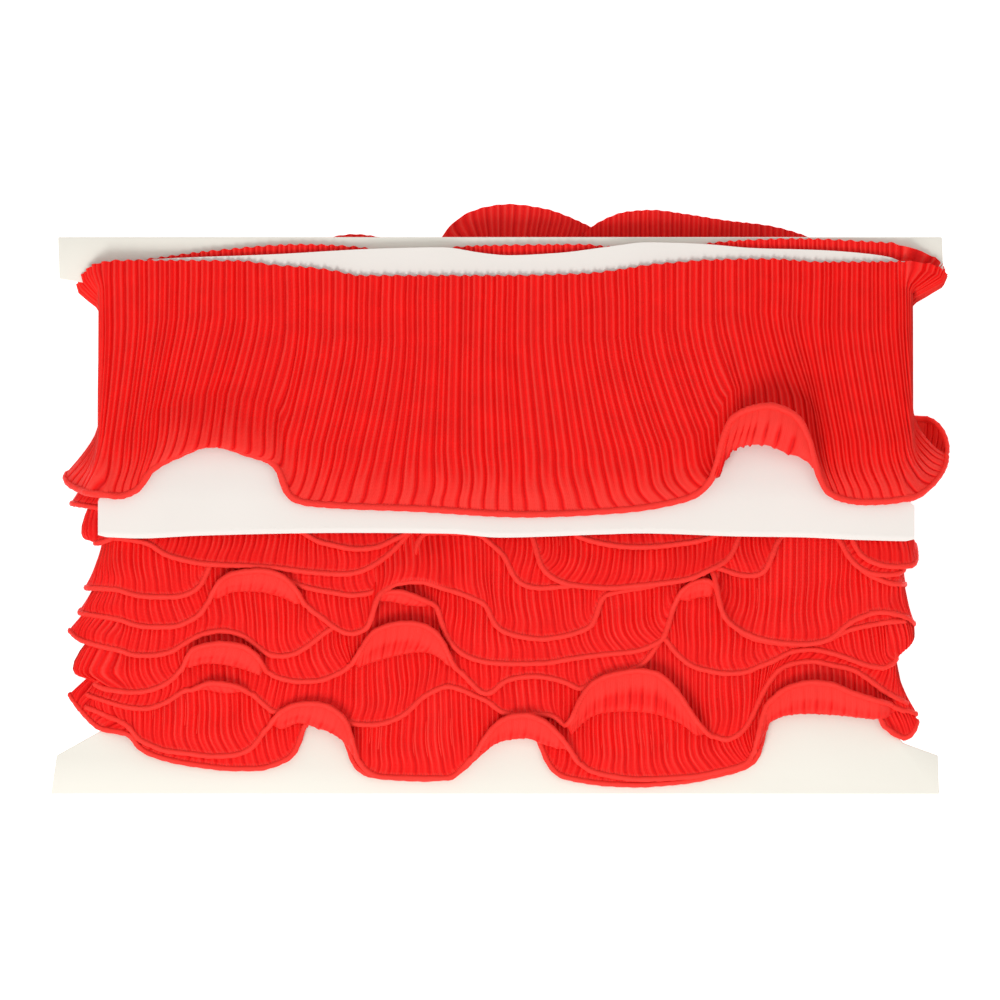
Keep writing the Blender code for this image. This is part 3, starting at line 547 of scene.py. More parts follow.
@dataclass
class RibbonTurn:
    """One turn of the ribbon as a pleated sheet with a rolled hem."""

    name: str
    layer: float
    front: tuple
    right: tuple
    back: tuple
    left: tuple
    top_front: tuple
    top_right: tuple
    top_back: tuple
    top_left: tuple
    crowding: tuple = ((-150.0, 1.0), (150.0, 1.0))
    drift: tuple = ((-150.0, 0.0), (150.0, 0.0))
    bulge: float = END_BULGE
    splay: tuple = ((-150.0, 0.0), (150.0, 0.0))
    seed: int = 1
    style: PleatStyle = PleatStyle(pitch=3.75, depth=1.45, under_depth=0.75)
    rows: tuple = (0.0, 0.05, 0.12, 0.22, 0.32)
    solid: Solid = Solid.WOUND

    def path(self) -> WindingPath:
        """The path of a wound turn, further from the card for each layer."""
        inner = TURNS - self.layer
        left = OUTER_LEFT + END_CLEARANCE + END_LAYER * inner
        right = OUTER_RIGHT - END_CLEARANCE - END_LAYER * inner
        back = CARD_BACK - GAP - BACK_LAYER * (self.layer + 0.5)
        return WindingPath(left, right, self.front_height, back)

    def front_height(self, y: np.ndarray) -> np.ndarray:
        """The height of the turn on the front: pressed under the strip, looser below it."""
        pressed = (strip_height(y) - ROOM_UNDER_STRIP - CARD_FRONT - GAP) / (TURNS + 0.5)
        step = mix(FREE_LAYER, pressed, ease(LOOSE_BELOW, PRESSED_ABOVE, y))
        return CARD_FRONT + GAP + step * (self.layer - 0.5)

    def prepare(self) -> None:
        """Turn the tables into even, softly rounded rows along the path."""
        self.way = self.path()
        way = self.way
        hem = [self.front_row(fold) for fold in self.front]
        hem += [(way.on_right(tip.share), tip.low, tip.tuck, tip.tip - way.right) for tip in self.right]
        hem += [(way.on_back(fold.x), fold.low, fold.tuck, fold.out) for fold in self.back]
        hem += [(way.on_left(tip.share), tip.low, tip.tuck, way.left - tip.tip) for tip in self.left]
        edge = [(way.on_front(row.x), row.top, row.out) for row in self.top_front]
        edge += [(way.on_right(rim.share), rim.top, rim.tip - way.right) for rim in self.top_right]
        edge += [(way.on_back(row.x), row.top, row.out) for row in self.top_back]
        edge += [(way.on_left(rim.share), rim.top, way.left - rim.tip) for rim in self.top_left]
        self.even = np.linspace(0.0, way.length, int(way.length * PLACES_PER_MM), endpoint=False)
        self.hem = self.rounded(hem)
        self.edge = self.rounded(edge)

    def front_row(self, fold: Fold) -> tuple:
        """The place, low, tuck and out of a row; one past a corner is a reach of that end."""
        way = self.way
        past_left = way.left + CORNER_RADIUS - fold.x
        past_right = fold.x - way.right + CORNER_RADIUS
        past = max(past_left, past_right)
        if past <= 0.0:
            return way.on_front(fold.x), fold.low, fold.tuck, fold.out
        place = way.on_left(REACH_SHARE * past) if past_left > 0.0 else way.on_right(REACH_SHARE * past)
        return place, fold.low, fold.tuck, max(past - CORNER_RADIUS, OUT_PAST_CORNER * fold.out)

    def rounded(self, rows: list) -> list:
        """Read rows at even places once round the path, with their corners softened.

        Args:
            rows: the rows, each with its place first.

        Returns:
            One array for each column of the rows.
        """
        length = self.way.length
        ordered = sorted((row[0] % length,) + row[1:] for row in rows)
        own = np.array([row[0] for row in ordered])
        ringed = np.concatenate([own[-OVERLAP:] - length, own, own[:OVERLAP] + length])
        columns = []
        for column in range(1, len(ordered[0])):
            values = np.array([row[column] for row in ordered])
            values = np.concatenate([values[-OVERLAP:], values, values[:OVERLAP]])
            columns.append(self.softened(smooth_through(ringed, values, self.even), ROUNDING))
        return columns

    def softened(self, values: np.ndarray, reach: float) -> np.ndarray:
        """Soften even values once round the path, over a reach in millimetres."""
        waves = np.fft.rfftfreq(len(values), self.way.length / len(values))
        return np.fft.irfft(np.fft.rfft(values) * np.exp(-2.0 * (math.pi * reach * waves) ** 2), len(values))

    def read(self, values: np.ndarray, place: np.ndarray) -> np.ndarray:
        """Read even values at places along the closed path."""
        return np.interp(place, self.even, values, period=self.way.length)

    def section(self, place: np.ndarray, v: np.ndarray) -> tuple:
        """The sheet from its top edge, v = 0, to its hem, v = 1.

        Args:
            place: places along the path.
            v: shares down the cloth.

        Returns:
            y, how far the hem stands off its path and how far the top edge does.
        """
        low, tuck, out = (self.read(column, place) for column in self.hem)
        top, flare = (self.read(column, place) for column in self.edge)
        start = low + HEM_ZONE
        bottom = np.maximum(top - FLARE_DEPTH, start + LEAST_RUN)
        back = np.abs(tuck)
        curl = np.minimum(1.0, back / FULL_CURL)
        under = np.minimum(1.0, np.maximum(0.0, -tuck) / FULL_UNDER)
        low = low - FOLD_SINK * curl * (1.0 - under)
        back = back + FOLD_SINK * curl * (1.0 - under)
        dip = HEM_ZONE * back / (math.sqrt(HEM_ZONE) + np.sqrt(back)) ** 2
        out = np.maximum(out, ROOM_IN_FOLD * curl)
        root = self.bulge * out * np.abs(self.way.locate(place, low)[2])
        t = np.clip((v - HEM_SHARE) / (1.0 - HEM_SHARE), 0.0, 1.0)
        weights = ((1 - t) ** 3, 3 * t * (1 - t) ** 2, 3 * t**2 * (1 - t), t**3)
        heights = (
            start,
            mix(start - UPPER_HANDLE * HEM_ZONE, low - dip, curl),
            mix(low + LOWER_HANDLE * HEM_ZONE, low - dip, curl),
            low + back,
        )
        offsets = (
            root,
            mix(root, out, under),
            mix(LOWER_STANDOFF, 1.0, curl) * out,
            mix(out, UNDER_STANDOFF * out, under),
        )
        hem_y = sum(weight * height for weight, height in zip(weights, heights))
        hem_out = sum(weight * offset for weight, offset in zip(weights, offsets))
        flare_share = np.clip(v / FLARE_SHARE, 0.0, 1.0)
        run_share = np.clip((v - FLARE_SHARE) / (HEM_SHARE - FLARE_SHARE), 0.0, 1.0)
        above = np.where(v < FLARE_SHARE, mix(top, bottom, flare_share), mix(bottom, start, run_share))
        y = np.where(v < HEM_SHARE, above, hem_y)
        away = np.where(v < HEM_SHARE, root * run_share**2, hem_out)
        return y, away, flare * (1.0 - ease(FLARE_HELD, 1.0, flare_share))

    @property
    def lowest(self) -> float:
        """The height of the cloth's lowest point, a little more for each turn further in."""
        return LOWEST + LOWEST_STEP * (self.way.left - OUTER_LEFT)

    def surface(self, place: np.ndarray, v: np.ndarray) -> np.ndarray:
        """Points of the unpleated sheet, in millimetres."""
        y, away, flare = self.section(place, v)
        x, z, out_x, out_z = self.way.locate(place, y)
        room = (z - self.lowest) / np.maximum(-out_z, DOWNWARD_FROM)
        away = np.where(out_z < -DOWNWARD_FROM, np.minimum(away, room), away)
        turned = np.minimum(1.0, np.abs(out_x) / SIDEWAYS_FROM)
        away = away + flare
        return np.stack([x + np.sign(out_x) * turned * away, y, z + out_z * (1.0 - turned) * away], axis=-1)

    def along(self, place: np.ndarray, v: np.ndarray) -> np.ndarray:
        """The sheet's direction along the path, of no set length."""
        return self.surface(place + ALONG_STEP, v) - self.surface(place - ALONG_STEP, v)

    def lay_out(self) -> tuple:
        """Share the pleats out evenly, along the top edge and along the hem's own length.

        Returns:
            The number of pleats, and the places at the top and at the hem for each column.
        """
        way, style = self.way, self.style
        length = way.length
        dense = np.append(self.even, length)
        hem = self.surface(dense, np.ones_like(dense))
        step = np.diff(hem, axis=0)
        run = np.sqrt(step[:, 0] ** 2 + WEIGHT_OF_WAVES * step[:, 1] ** 2 + step[:, 2] ** 2)
        local = self.softened(run, RUN_ROUNDING) / self.softened(run, FAN_REACH)
        x, _, out_x, out_z = way.locate(self.even, np.zeros_like(self.even))
        crowd = read_rows(self.crowding, x) * (1.0 + END_CROWDING * np.abs(out_x))
        drift = self.softened(read_rows(self.drift, x) * 0.5 * (1.0 + out_z), DRIFT_ROUNDING)
        count = int(round(crowd.mean() * length / style.pitch))
        rng = np.random.default_rng(self.seed)
        steps = 1.0 + style.unevenness * rng.uniform(-1.0, 1.0, count)
        edges = np.concatenate([[0.0], np.cumsum(steps)]) / steps.sum()
        phase = (edges[:-1, None] + np.diff(edges)[:, None] * np.array(style.share)[None, :]).ravel()
        anchor = way.on_front(0.0)

        def places(density: np.ndarray) -> np.ndarray:
            """Turn shares of the pleats into places, for a density along the path."""
            total = np.concatenate([[0.0], np.cumsum(density)])
            total /= total[-1]
            zero = np.interp(anchor, dense, total)
            wanted = phase - START_PHASE + zero
            turns = np.floor(wanted)
            return np.interp(wanted - turns, total, dense) + turns * length

        hem_place = places(crowd * local**style.gather)
        return count, places(crowd), hem_place + self.read(drift, hem_place)

    def row_shares(self) -> np.ndarray:
        """The shares down the cloth at which the mesh has its rows."""
        hem = HEM_SHARE + (1.0 - HEM_SHARE) * np.array(HEM_ROWS)
        return np.concatenate([np.array(self.rows), hem])

    def lean(self, v: np.ndarray) -> np.ndarray:
        """How far the pleats have turned, at shares down the cloth, to their places at the hem."""
        heights = (RIBBON_WIDTH, RIBBON_WIDTH - FLARE_DEPTH, HEM_ZONE, 0.0)
        from_hem = np.interp(v, (0.0, FLARE_SHARE, HEM_SHARE, 1.0), heights)
        slow = np.clip(1.0 - from_hem / LEAN_REACH, 0.0, 1.0) ** self.style.lean_power
        quick = np.clip(1.0 - from_hem / BEND_REACH, 0.0, 1.0) ** 2
        return mix(slow, quick, self.style.bend)

    def relief(self, place: np.ndarray, from_hem: np.ndarray, z: np.ndarray, sideways: np.ndarray) -> tuple:
        """How deep the pleats are, and how flat.

        Args:
            place: places along the path.
            from_hem: distances from the hem along the cloth.
            z: heights of the cloth.
            sideways: 1 on the ends of the winding, 0 on its front and back.

        Returns:
            The depth, the share of the pressed section, and the share of the smooth
            inner side that a hem shows where it is folded up.
        """
        style = self.style
        tuck = np.maximum(self.read(self.hem[1], place), 0.0)
        near, far = (self.way.back + rise for rise in RISE_FROM_BACK)
        full = mix(style.back_depth, style.depth, ease(near, far, z))
        full = mix(full, np.minimum(full, style.under_depth), ease(*UNDER_ZONE, from_hem))
        depth = mix(np.minimum(style.hem_depth, full), full, ease(*DEEPER_ZONE, from_hem))
        curl = np.minimum(1.0, tuck / FULL_CURL)
        faded = ease(*BAND_FADE, from_hem / np.clip(tuck, 1.0, SMOOTH_BAND))
        band = curl * (1.0 - faded) * (1.0 - BAND_LOST_ON_ENDS * sideways)
        scallop = curl * (1.0 - ease(*SCALLOP_ZONE, from_hem - tuck))
        turn = curl * np.exp(-(((from_hem - tuck) / TURN_WIDTH) ** 2))
        depth = depth * (1.0 - LOST_IN_BAND * band) * (1.0 - LOST_IN_TURN * turn)
        pressed = np.maximum(1.0 - ease(PRESSED_FROM, style.pressed_reach, from_hem), scallop)
        return depth, pressed, np.maximum(band, TURN_SMOOTHNESS * turn)

    def build(self, material: bpy.types.Material) -> bpy.types.Object:
        """Make the sheet with its rolled hem as one mesh.

        Args:
            material: the cloth's finish.

        Returns:
            The new object.
        """
        self.prepare()
        style = self.style
        count, top_place, hem_place = self.lay_out()
        v = self.row_shares()
        rng = np.random.default_rng(self.seed + SECOND_SEED)
        place = mix(top_place[:, None], hem_place[:, None], self.lean(v)[None, :])
        shares = np.broadcast_to(v[None, :], place.shape)
        waves = sum(
            np.sin(place / reach + v[None, :] * turn + phase)
            for reach, turn, phase in zip(WANDER_LENGTHS, WANDER_TURNS, rng.uniform(0.0, 6.0, 3))
        )
        wander = style.wander * waves * ease(*WANDER_AT_TOP, shares)
        place = place + wander * (1.0 - ease(*WANDER_AT_HEM, shares))
        x, _, out_x, out_z = self.way.locate(place, np.zeros_like(place))
        place = place - read_rows(self.splay, x) * (out_z < BACK_FROM) * (1.0 - ease(*SPLAY_FADE, shares))
        base = self.surface(place, shares)
        above, below = np.maximum(shares - DOWN_STEP, 0.0), np.minimum(shares + DOWN_STEP, 1.0)
        down = self.surface(place, below) - self.surface(place, above)
        normal = unit(np.cross(down, self.along(place, shares)))
        lengths = np.linalg.norm(np.diff(base, axis=1), axis=-1)
        run = np.concatenate([np.zeros((place.shape[0], 1)), np.cumsum(lengths, axis=1)], axis=1)
        from_hem = run[:, -1:] - run
        depth, flat, inside = self.relief(place, from_hem, base[..., 2], np.abs(out_x))
        height = mix(np.tile(style.height, count)[:, None], np.tile(style.pressed, count)[:, None], flat)
        uneven = 1.0 + 0.5 * style.unevenness * rng.uniform(-1.0, 1.0, count)
        rise = np.repeat(uneven, len(style.share))[:, None]
        band = 1.0 - ease(style.hem_band - BAND_EDGE[0], style.hem_band + BAND_EDGE[1], from_hem)
        band = band * (1.0 - inside)
        from_groove = (from_hem - style.bead_radius - GROOVE_ABOVE_BEAD) / GROOVE_WIDTH
        groove = np.exp(-(from_groove**2)) * (1.0 - GROOVE_LOST_INSIDE * inside)
        away = depth * rise * (1.0 - LOST_IN_HEM * band) * (height - MEAN_HEIGHT)
        away = away + BAND_RELIEF * band - GROOVE_RELIEF * groove
        points = base + normal * away[..., None]
        bumps = np.tile(np.cos(2.0 * math.pi * (np.array(style.share) - ZIGZAG_PHASE)), count)[:, None]
        zigzag = style.zigzag * bumps * (1.0 - ease(*ZIGZAG_FADE, shares))
        points[..., 1] += zigzag * mix(ZIGZAG_AT_BACK, 1.0, 0.5 + 0.5 * out_z)
        points[..., 2] = np.maximum(points[..., 2], self.lowest)
        # The fold value picks the cloth's colour. The pleats' height paints shade in the valleys and
        # highlight on the crests. The smooth band and inside take a light tone toward that painted highlight,
        # and the groove takes a painted shade.
        smooth = np.maximum(HEM_TONING * band, INSIDE_TONING * inside)
        fold = np.clip(mix(height * rise, SMOOTH_TONE, smooth) - GROOVE_SHADE * groove, 0.0, 1.0)
        uv = np.stack([np.broadcast_to(top_place[:, None], place.shape), run], axis=-1)
        builder = GridMesh(self.name)
        builder.add_grid(points, fold, uv, band)
        builder.add_grid(*self.bead(hem_place), np.zeros(1))
        thing = builder.finish(material)
        LOG.info("%s: %d pleats, %d faces", self.name, count, len(thing.data.polygons))
        return thing

    def bead(self, hem_place: np.ndarray) -> tuple:
        """The rolled hem, a thin tube along the sheet's lower edge.

        Args:
            hem_place: the columns' places at the hem.

        Returns:
            The tube's points, its fold values and its UVs.
        """
        style = self.style
        per = len(style.share)
        place = np.sort(np.concatenate([hem_place[::per], hem_place[3::per], hem_place[6::per]]))
        one = np.ones_like(place)
        centre = self.surface(place, one)
        down = unit(centre - self.surface(place, one - 2.0 * DOWN_STEP))
        centre = centre - BEAD_IN_CLOTH * style.bead_radius * down
        along = unit(self.along(place, one))
        _, _, out_x, out_z = self.way.locate(place, centre[:, 1])
        side = unit(np.cross(along, np.stack([out_x, 0.0 * out_x, out_z], axis=-1)))
        up = np.cross(side, along)
        angles = np.linspace(0.0, 2.0 * math.pi, BEAD_SIDES + 1)
        radius = style.bead_radius * (1.0 + BEAD_UNEVENNESS * np.sin(np.arange(len(place)) * BEAD_RIPPLE))
        thick = BEAD_FLATNESS * np.sin(angles)[None, :, None]
        ring = np.cos(angles)[None, :, None] * side[:, None, :] + thick * up[:, None, :]
        points = centre[:, None, :] + ring * radius[:, None, None]
        points[..., 2] = np.maximum(points[..., 2], self.lowest - BEAD_BELOW)
        # The bead takes a light tone toward the crests' painted highlight.
        fold = BEAD_TONE * np.ones((len(place), BEAD_SIDES + 1))
        round_bead = BEAD_UV_START + angles[None, :] * radius[:, None]
        uv = np.stack(np.broadcast_arrays(place[:, None], round_bead), axis=-1)
        return points, fold, uv


class GridMesh:
    """A mesh put together from grids of points, each closed into a ring of columns."""

    def __init__(self, name: str) -> None:
        """Start with nothing in the mesh."""
        self.name = name
        self.points = []
        self.folds = []
        self.bands = []
        self.uvs = []
        self.faces = []
        self.total = 0

    def add_grid(self, points: np.ndarray, fold: np.ndarray, uv: np.ndarray, band: np.ndarray) -> None:
        """Add a grid of columns by rows, its last column joined to its first.

        Args:
            points: the places, in millimetres, columns first.
            fold: the pleats' height at each point, 0 to 1, which sets the painted shade and highlight.
            uv: the place on the cloth, in millimetres.
            band: the share of the hem's ribbed band at each point.
        """
        columns, rows = points.shape[:2]
        index = self.total + np.arange(columns * rows).reshape(columns, rows)
        following = np.roll(index, -1, axis=0)
        quads = np.stack([index[:, :-1], index[:, 1:], following[:, 1:], following[:, :-1]], axis=-1)
        self.faces.append(quads.reshape(-1, 4))
        self.points.append(points.reshape(-1, 3))
        self.folds.append(np.broadcast_to(fold, points.shape[:2]).reshape(-1))
        self.bands.append(np.broadcast_to(band, points.shape[:2]).reshape(-1))
        self.uvs.append(np.broadcast_to(uv, points.shape[:2] + (2,)).reshape(-1, 2))
        self.total += columns * rows

    def finish(self, material: bpy.types.Material) -> bpy.types.Object:
        """Write the mesh with its attribute and UV map, and link its object."""
        points = np.concatenate(self.points) * MM
        faces = np.concatenate(self.faces)
        mesh = bpy.data.meshes.new(self.name)
        mesh.from_pydata(points.tolist(), [], faces.tolist())
        for name, values in (("fold", self.folds), ("band", self.bands)):
            attribute = mesh.attributes.new(name, "FLOAT", "POINT")
            attribute.data.foreach_set("value", np.concatenate(values).astype(np.float32))
        layer = mesh.uv_layers.new(name="cloth")
        loops = np.zeros(len(mesh.loops), np.int32)
        mesh.loops.foreach_get("vertex_index", loops)
        layer.data.foreach_set("uv", np.concatenate(self.uvs)[loops].astype(np.float32).ravel())
        mesh.materials.append(material)
        mesh.shade_smooth()
        mesh.validate()
        thing = bpy.data.objects.new(self.name, mesh)
        bpy.context.scene.collection.objects.link(thing)
        return thing


@dataclass
class OuterTurn(RibbonTurn):
    """The last turn, over the strip on the front and on the ground at the back."""

    solid: Solid = Solid.OUTER

    def path(self) -> WindingPath:
        """The path of the last turn."""
        spring = STRIP_THICKNESS + SPRING_ABOVE_STRIP
        return WindingPath(OUTER_LEFT, OUTER_RIGHT, lambda y: strip_height(y) + spring, OUTER_BACK)


TOP_FRONT = edges(
    (-136, 85.5), (-128, 86.4), (-104, 89.5), (-72, 91.8), (-50, 90.8), (-40, 88.9), (-25, 88.9), (-15, 91),
    (0, 91.5), (30, 91.8), (39, 91), (50, 90), (65, 90.2), (75, 92.2), (90, 93.4), (105, 93.9), (135, 92.7),
    (144, 92),
)
TOP_BACK = edges((130, 86), (40, 88), (-50, 87), (-130, 86))


def lowered(edge: tuple, amount: float) -> tuple:
    """The same top edge lower down, as an inner turn has it."""
    return tuple(row._replace(top=row.top - amount) for row in edge)


def top_edges(amount: float) -> dict:
    """The four parts of an inner turn's top edge, lowered by an amount."""
    return {
        "top_front": lowered(TOP_FRONT, amount),
        "top_right": lowered(rims((147, 83)), amount),
        "top_back": lowered(TOP_BACK, amount),
        "top_left": lowered(rims((-143, 82)), amount),
    }


OUTER = OuterTurn(
    "outer_pleats",
    TURNS + 1.0,
    folds(
        (-137, 0.5, 0, 1.5), (-130, 3, 0, 1.5), (-125, 8.5, -2, 3.5), (-115, 13.2, -3, 5),
        (-103.5, 16.2, -4, 6), (-91, 13.6, -3, 5), (-79.8, 9.5, -2, 3.5), (-78.4, 6.5, -0.8, 2.5),
        (-77.2, 2.3, 0, 2), (-74, -0.5), (-68.5, -2), (-29, -4), (9, -6), (43, -4.5), (66.5, -0.5, 0, 1.5),
        (74, 2.8, 1, 3), (77, 6, 4, 6), (79.3, 10, 9.5, 8.5), (81.5, 15.3, 12, 10), (85.1, 17.7, 13, 11),
        (90, 18.7, 14.2, 12), (94.8, 18.7, 15.2, 12.5), (100.3, 16.7, 16.5, 12), (104.4, 14.9, 16.6, 11),
        (108.6, 13.9, 13.1, 9.5), (111, 12.5, 9.8, 8), (112.9, 9.8, 4, 6), (114.8, 5.7, 0.5, 4),
        (117.5, 2.2, 0, 3), (123, -0.5, 0, 1.5), (130.6, -1.6), (140.3, -1.2, 0, 1.5), (146, -0.3, 0, 4),
    ),
    tips(
        (149.5, 0, 0, 0.08), (154, 2.9, 0, 0.18), (157.5, 6.3, 0, 0.28), (160.9, 11.2, 0, 0.38),
        (161.6, 14.5, 0.8, 0.47), (161.6, 14.5, 5.7, 0.57), (160.2, 14.5, 10.4, 0.67),
        (157.5, 14.5, 13.6, 0.76), (154, 14.5, 15.2, 0.86),
    ),
    folds(
        (145, 15, 13.5, 2), (136, 13, 8, 1), (126, 3, 0, 0), (97, 11, 0, 0), (53, 15, 0, 0), (30, 9, 0, 0),
        (3, 17, 0, 0), (-26, 0, 0, 0), (-53, 7, 0, 0), (-85, -2, 0, 0), (-112, 5, 0, 0), (-133, -1, 0, 0),
    ),
    tips((-151.5, 2.8, 0, 0.25), (-156.3, 5.2, 0, 0.42), (-157.5, 7.8, 0, 0.55), (-153, 10, 0, 0.75)),
    edges(
        (-138, 86), (-93.7, 85.8), (-81.6, 84.3), (-67.5, 83.3), (-57, 81.7), (-51.3, 80.5), (0, 80.5),
        (29.6, 81.2), (45.4, 83), (53.8, 84.4), (65.5, 85.4), (74, 86.1), (97, 86.5), (116, 85.4),
        (142.5, 85.5, 0.5),
    ),
    rims(
        (151.5, 85.6, 0.05), (156.5, 84.6, 0.13), (160.3, 82.4, 0.24), (161, 80.5, 0.38), (159, 79, 0.6),
        (151, 82, 0.9),
    ),
    edges(
        (130, 87), (60, 90), (46, 92), (33, 98.5), (24, 102.6), (16.5, 105.1), (3, 106.8), (-3, 106.2),
        (-10.8, 104), (-16.9, 100.1), (-21.5, 94.5), (-25, 89), (-60, 87), (-133, 86),
    ),
    rims((-146.5, 84.6, 0.15), (-150.5, 81.2, 0.35), (-152.6, 77.3, 0.55), (-149.5, 77.5, 0.8)),
    crowding=((-144.0, 1.03), (-60.0, 1.0), (80.0, 1.02), (115.0, 1.2), (146.0, 1.4)),
    drift=(
        (-148, -2), (-141, -3), (-122, -7), (-96, -9), (-77, -7), (-57, -11), (-41, -10), (-32, -5),
        (-22, -1), (-1, 1), (7, 4), (19, 8), (31, 12), (47, 15), (63, 14), (94, 8), (104, 11), (119, 11),
        (137, 8), (148, 6),
    ),
    bulge=0.0,
    splay=((-30.0, 0.0), (-18.0, -6.0), (0.0, 0.0), (24.0, 3.0), (34.0, 0.0)),
    seed=12,
    style=PleatStyle(
        pressed=(0.0, 0.5, 0.86, 0.84, 0.8, 0.86, 0.88, 0.5), pressed_reach=24.0, lean_power=1.2, bend=0.1,
        gather=0.5, bead_radius=1.2,
    ),
    rows=(0.0, 0.04, 0.08, 0.115, 0.15, 0.18, 0.215, 0.25, 0.285, 0.32, 0.36),
)


def wound(
    number: int, lowering: float, front: tuple, right: tuple, back: tuple, left: tuple, **others: object
) -> RibbonTurn:
    """Describe a wound turn.

    Args:
        number: its place from the card outwards.
        lowering: how far its top edge lies below that of the outermost wound turn.
        front: the hem on the front.
        right: the hem round the right end.
        back: the hem at the back.
        left: the hem round the left end.
        others: the turn's other fields, where they aren't the usual ones.

    Returns:
        The turn, not yet built.
    """
    fields = {"layer": float(number), "seed": number, **top_edges(lowering), **others}
    return RibbonTurn(f"turn_{number:02d}", front=front, right=right, back=back, left=left, **fields)


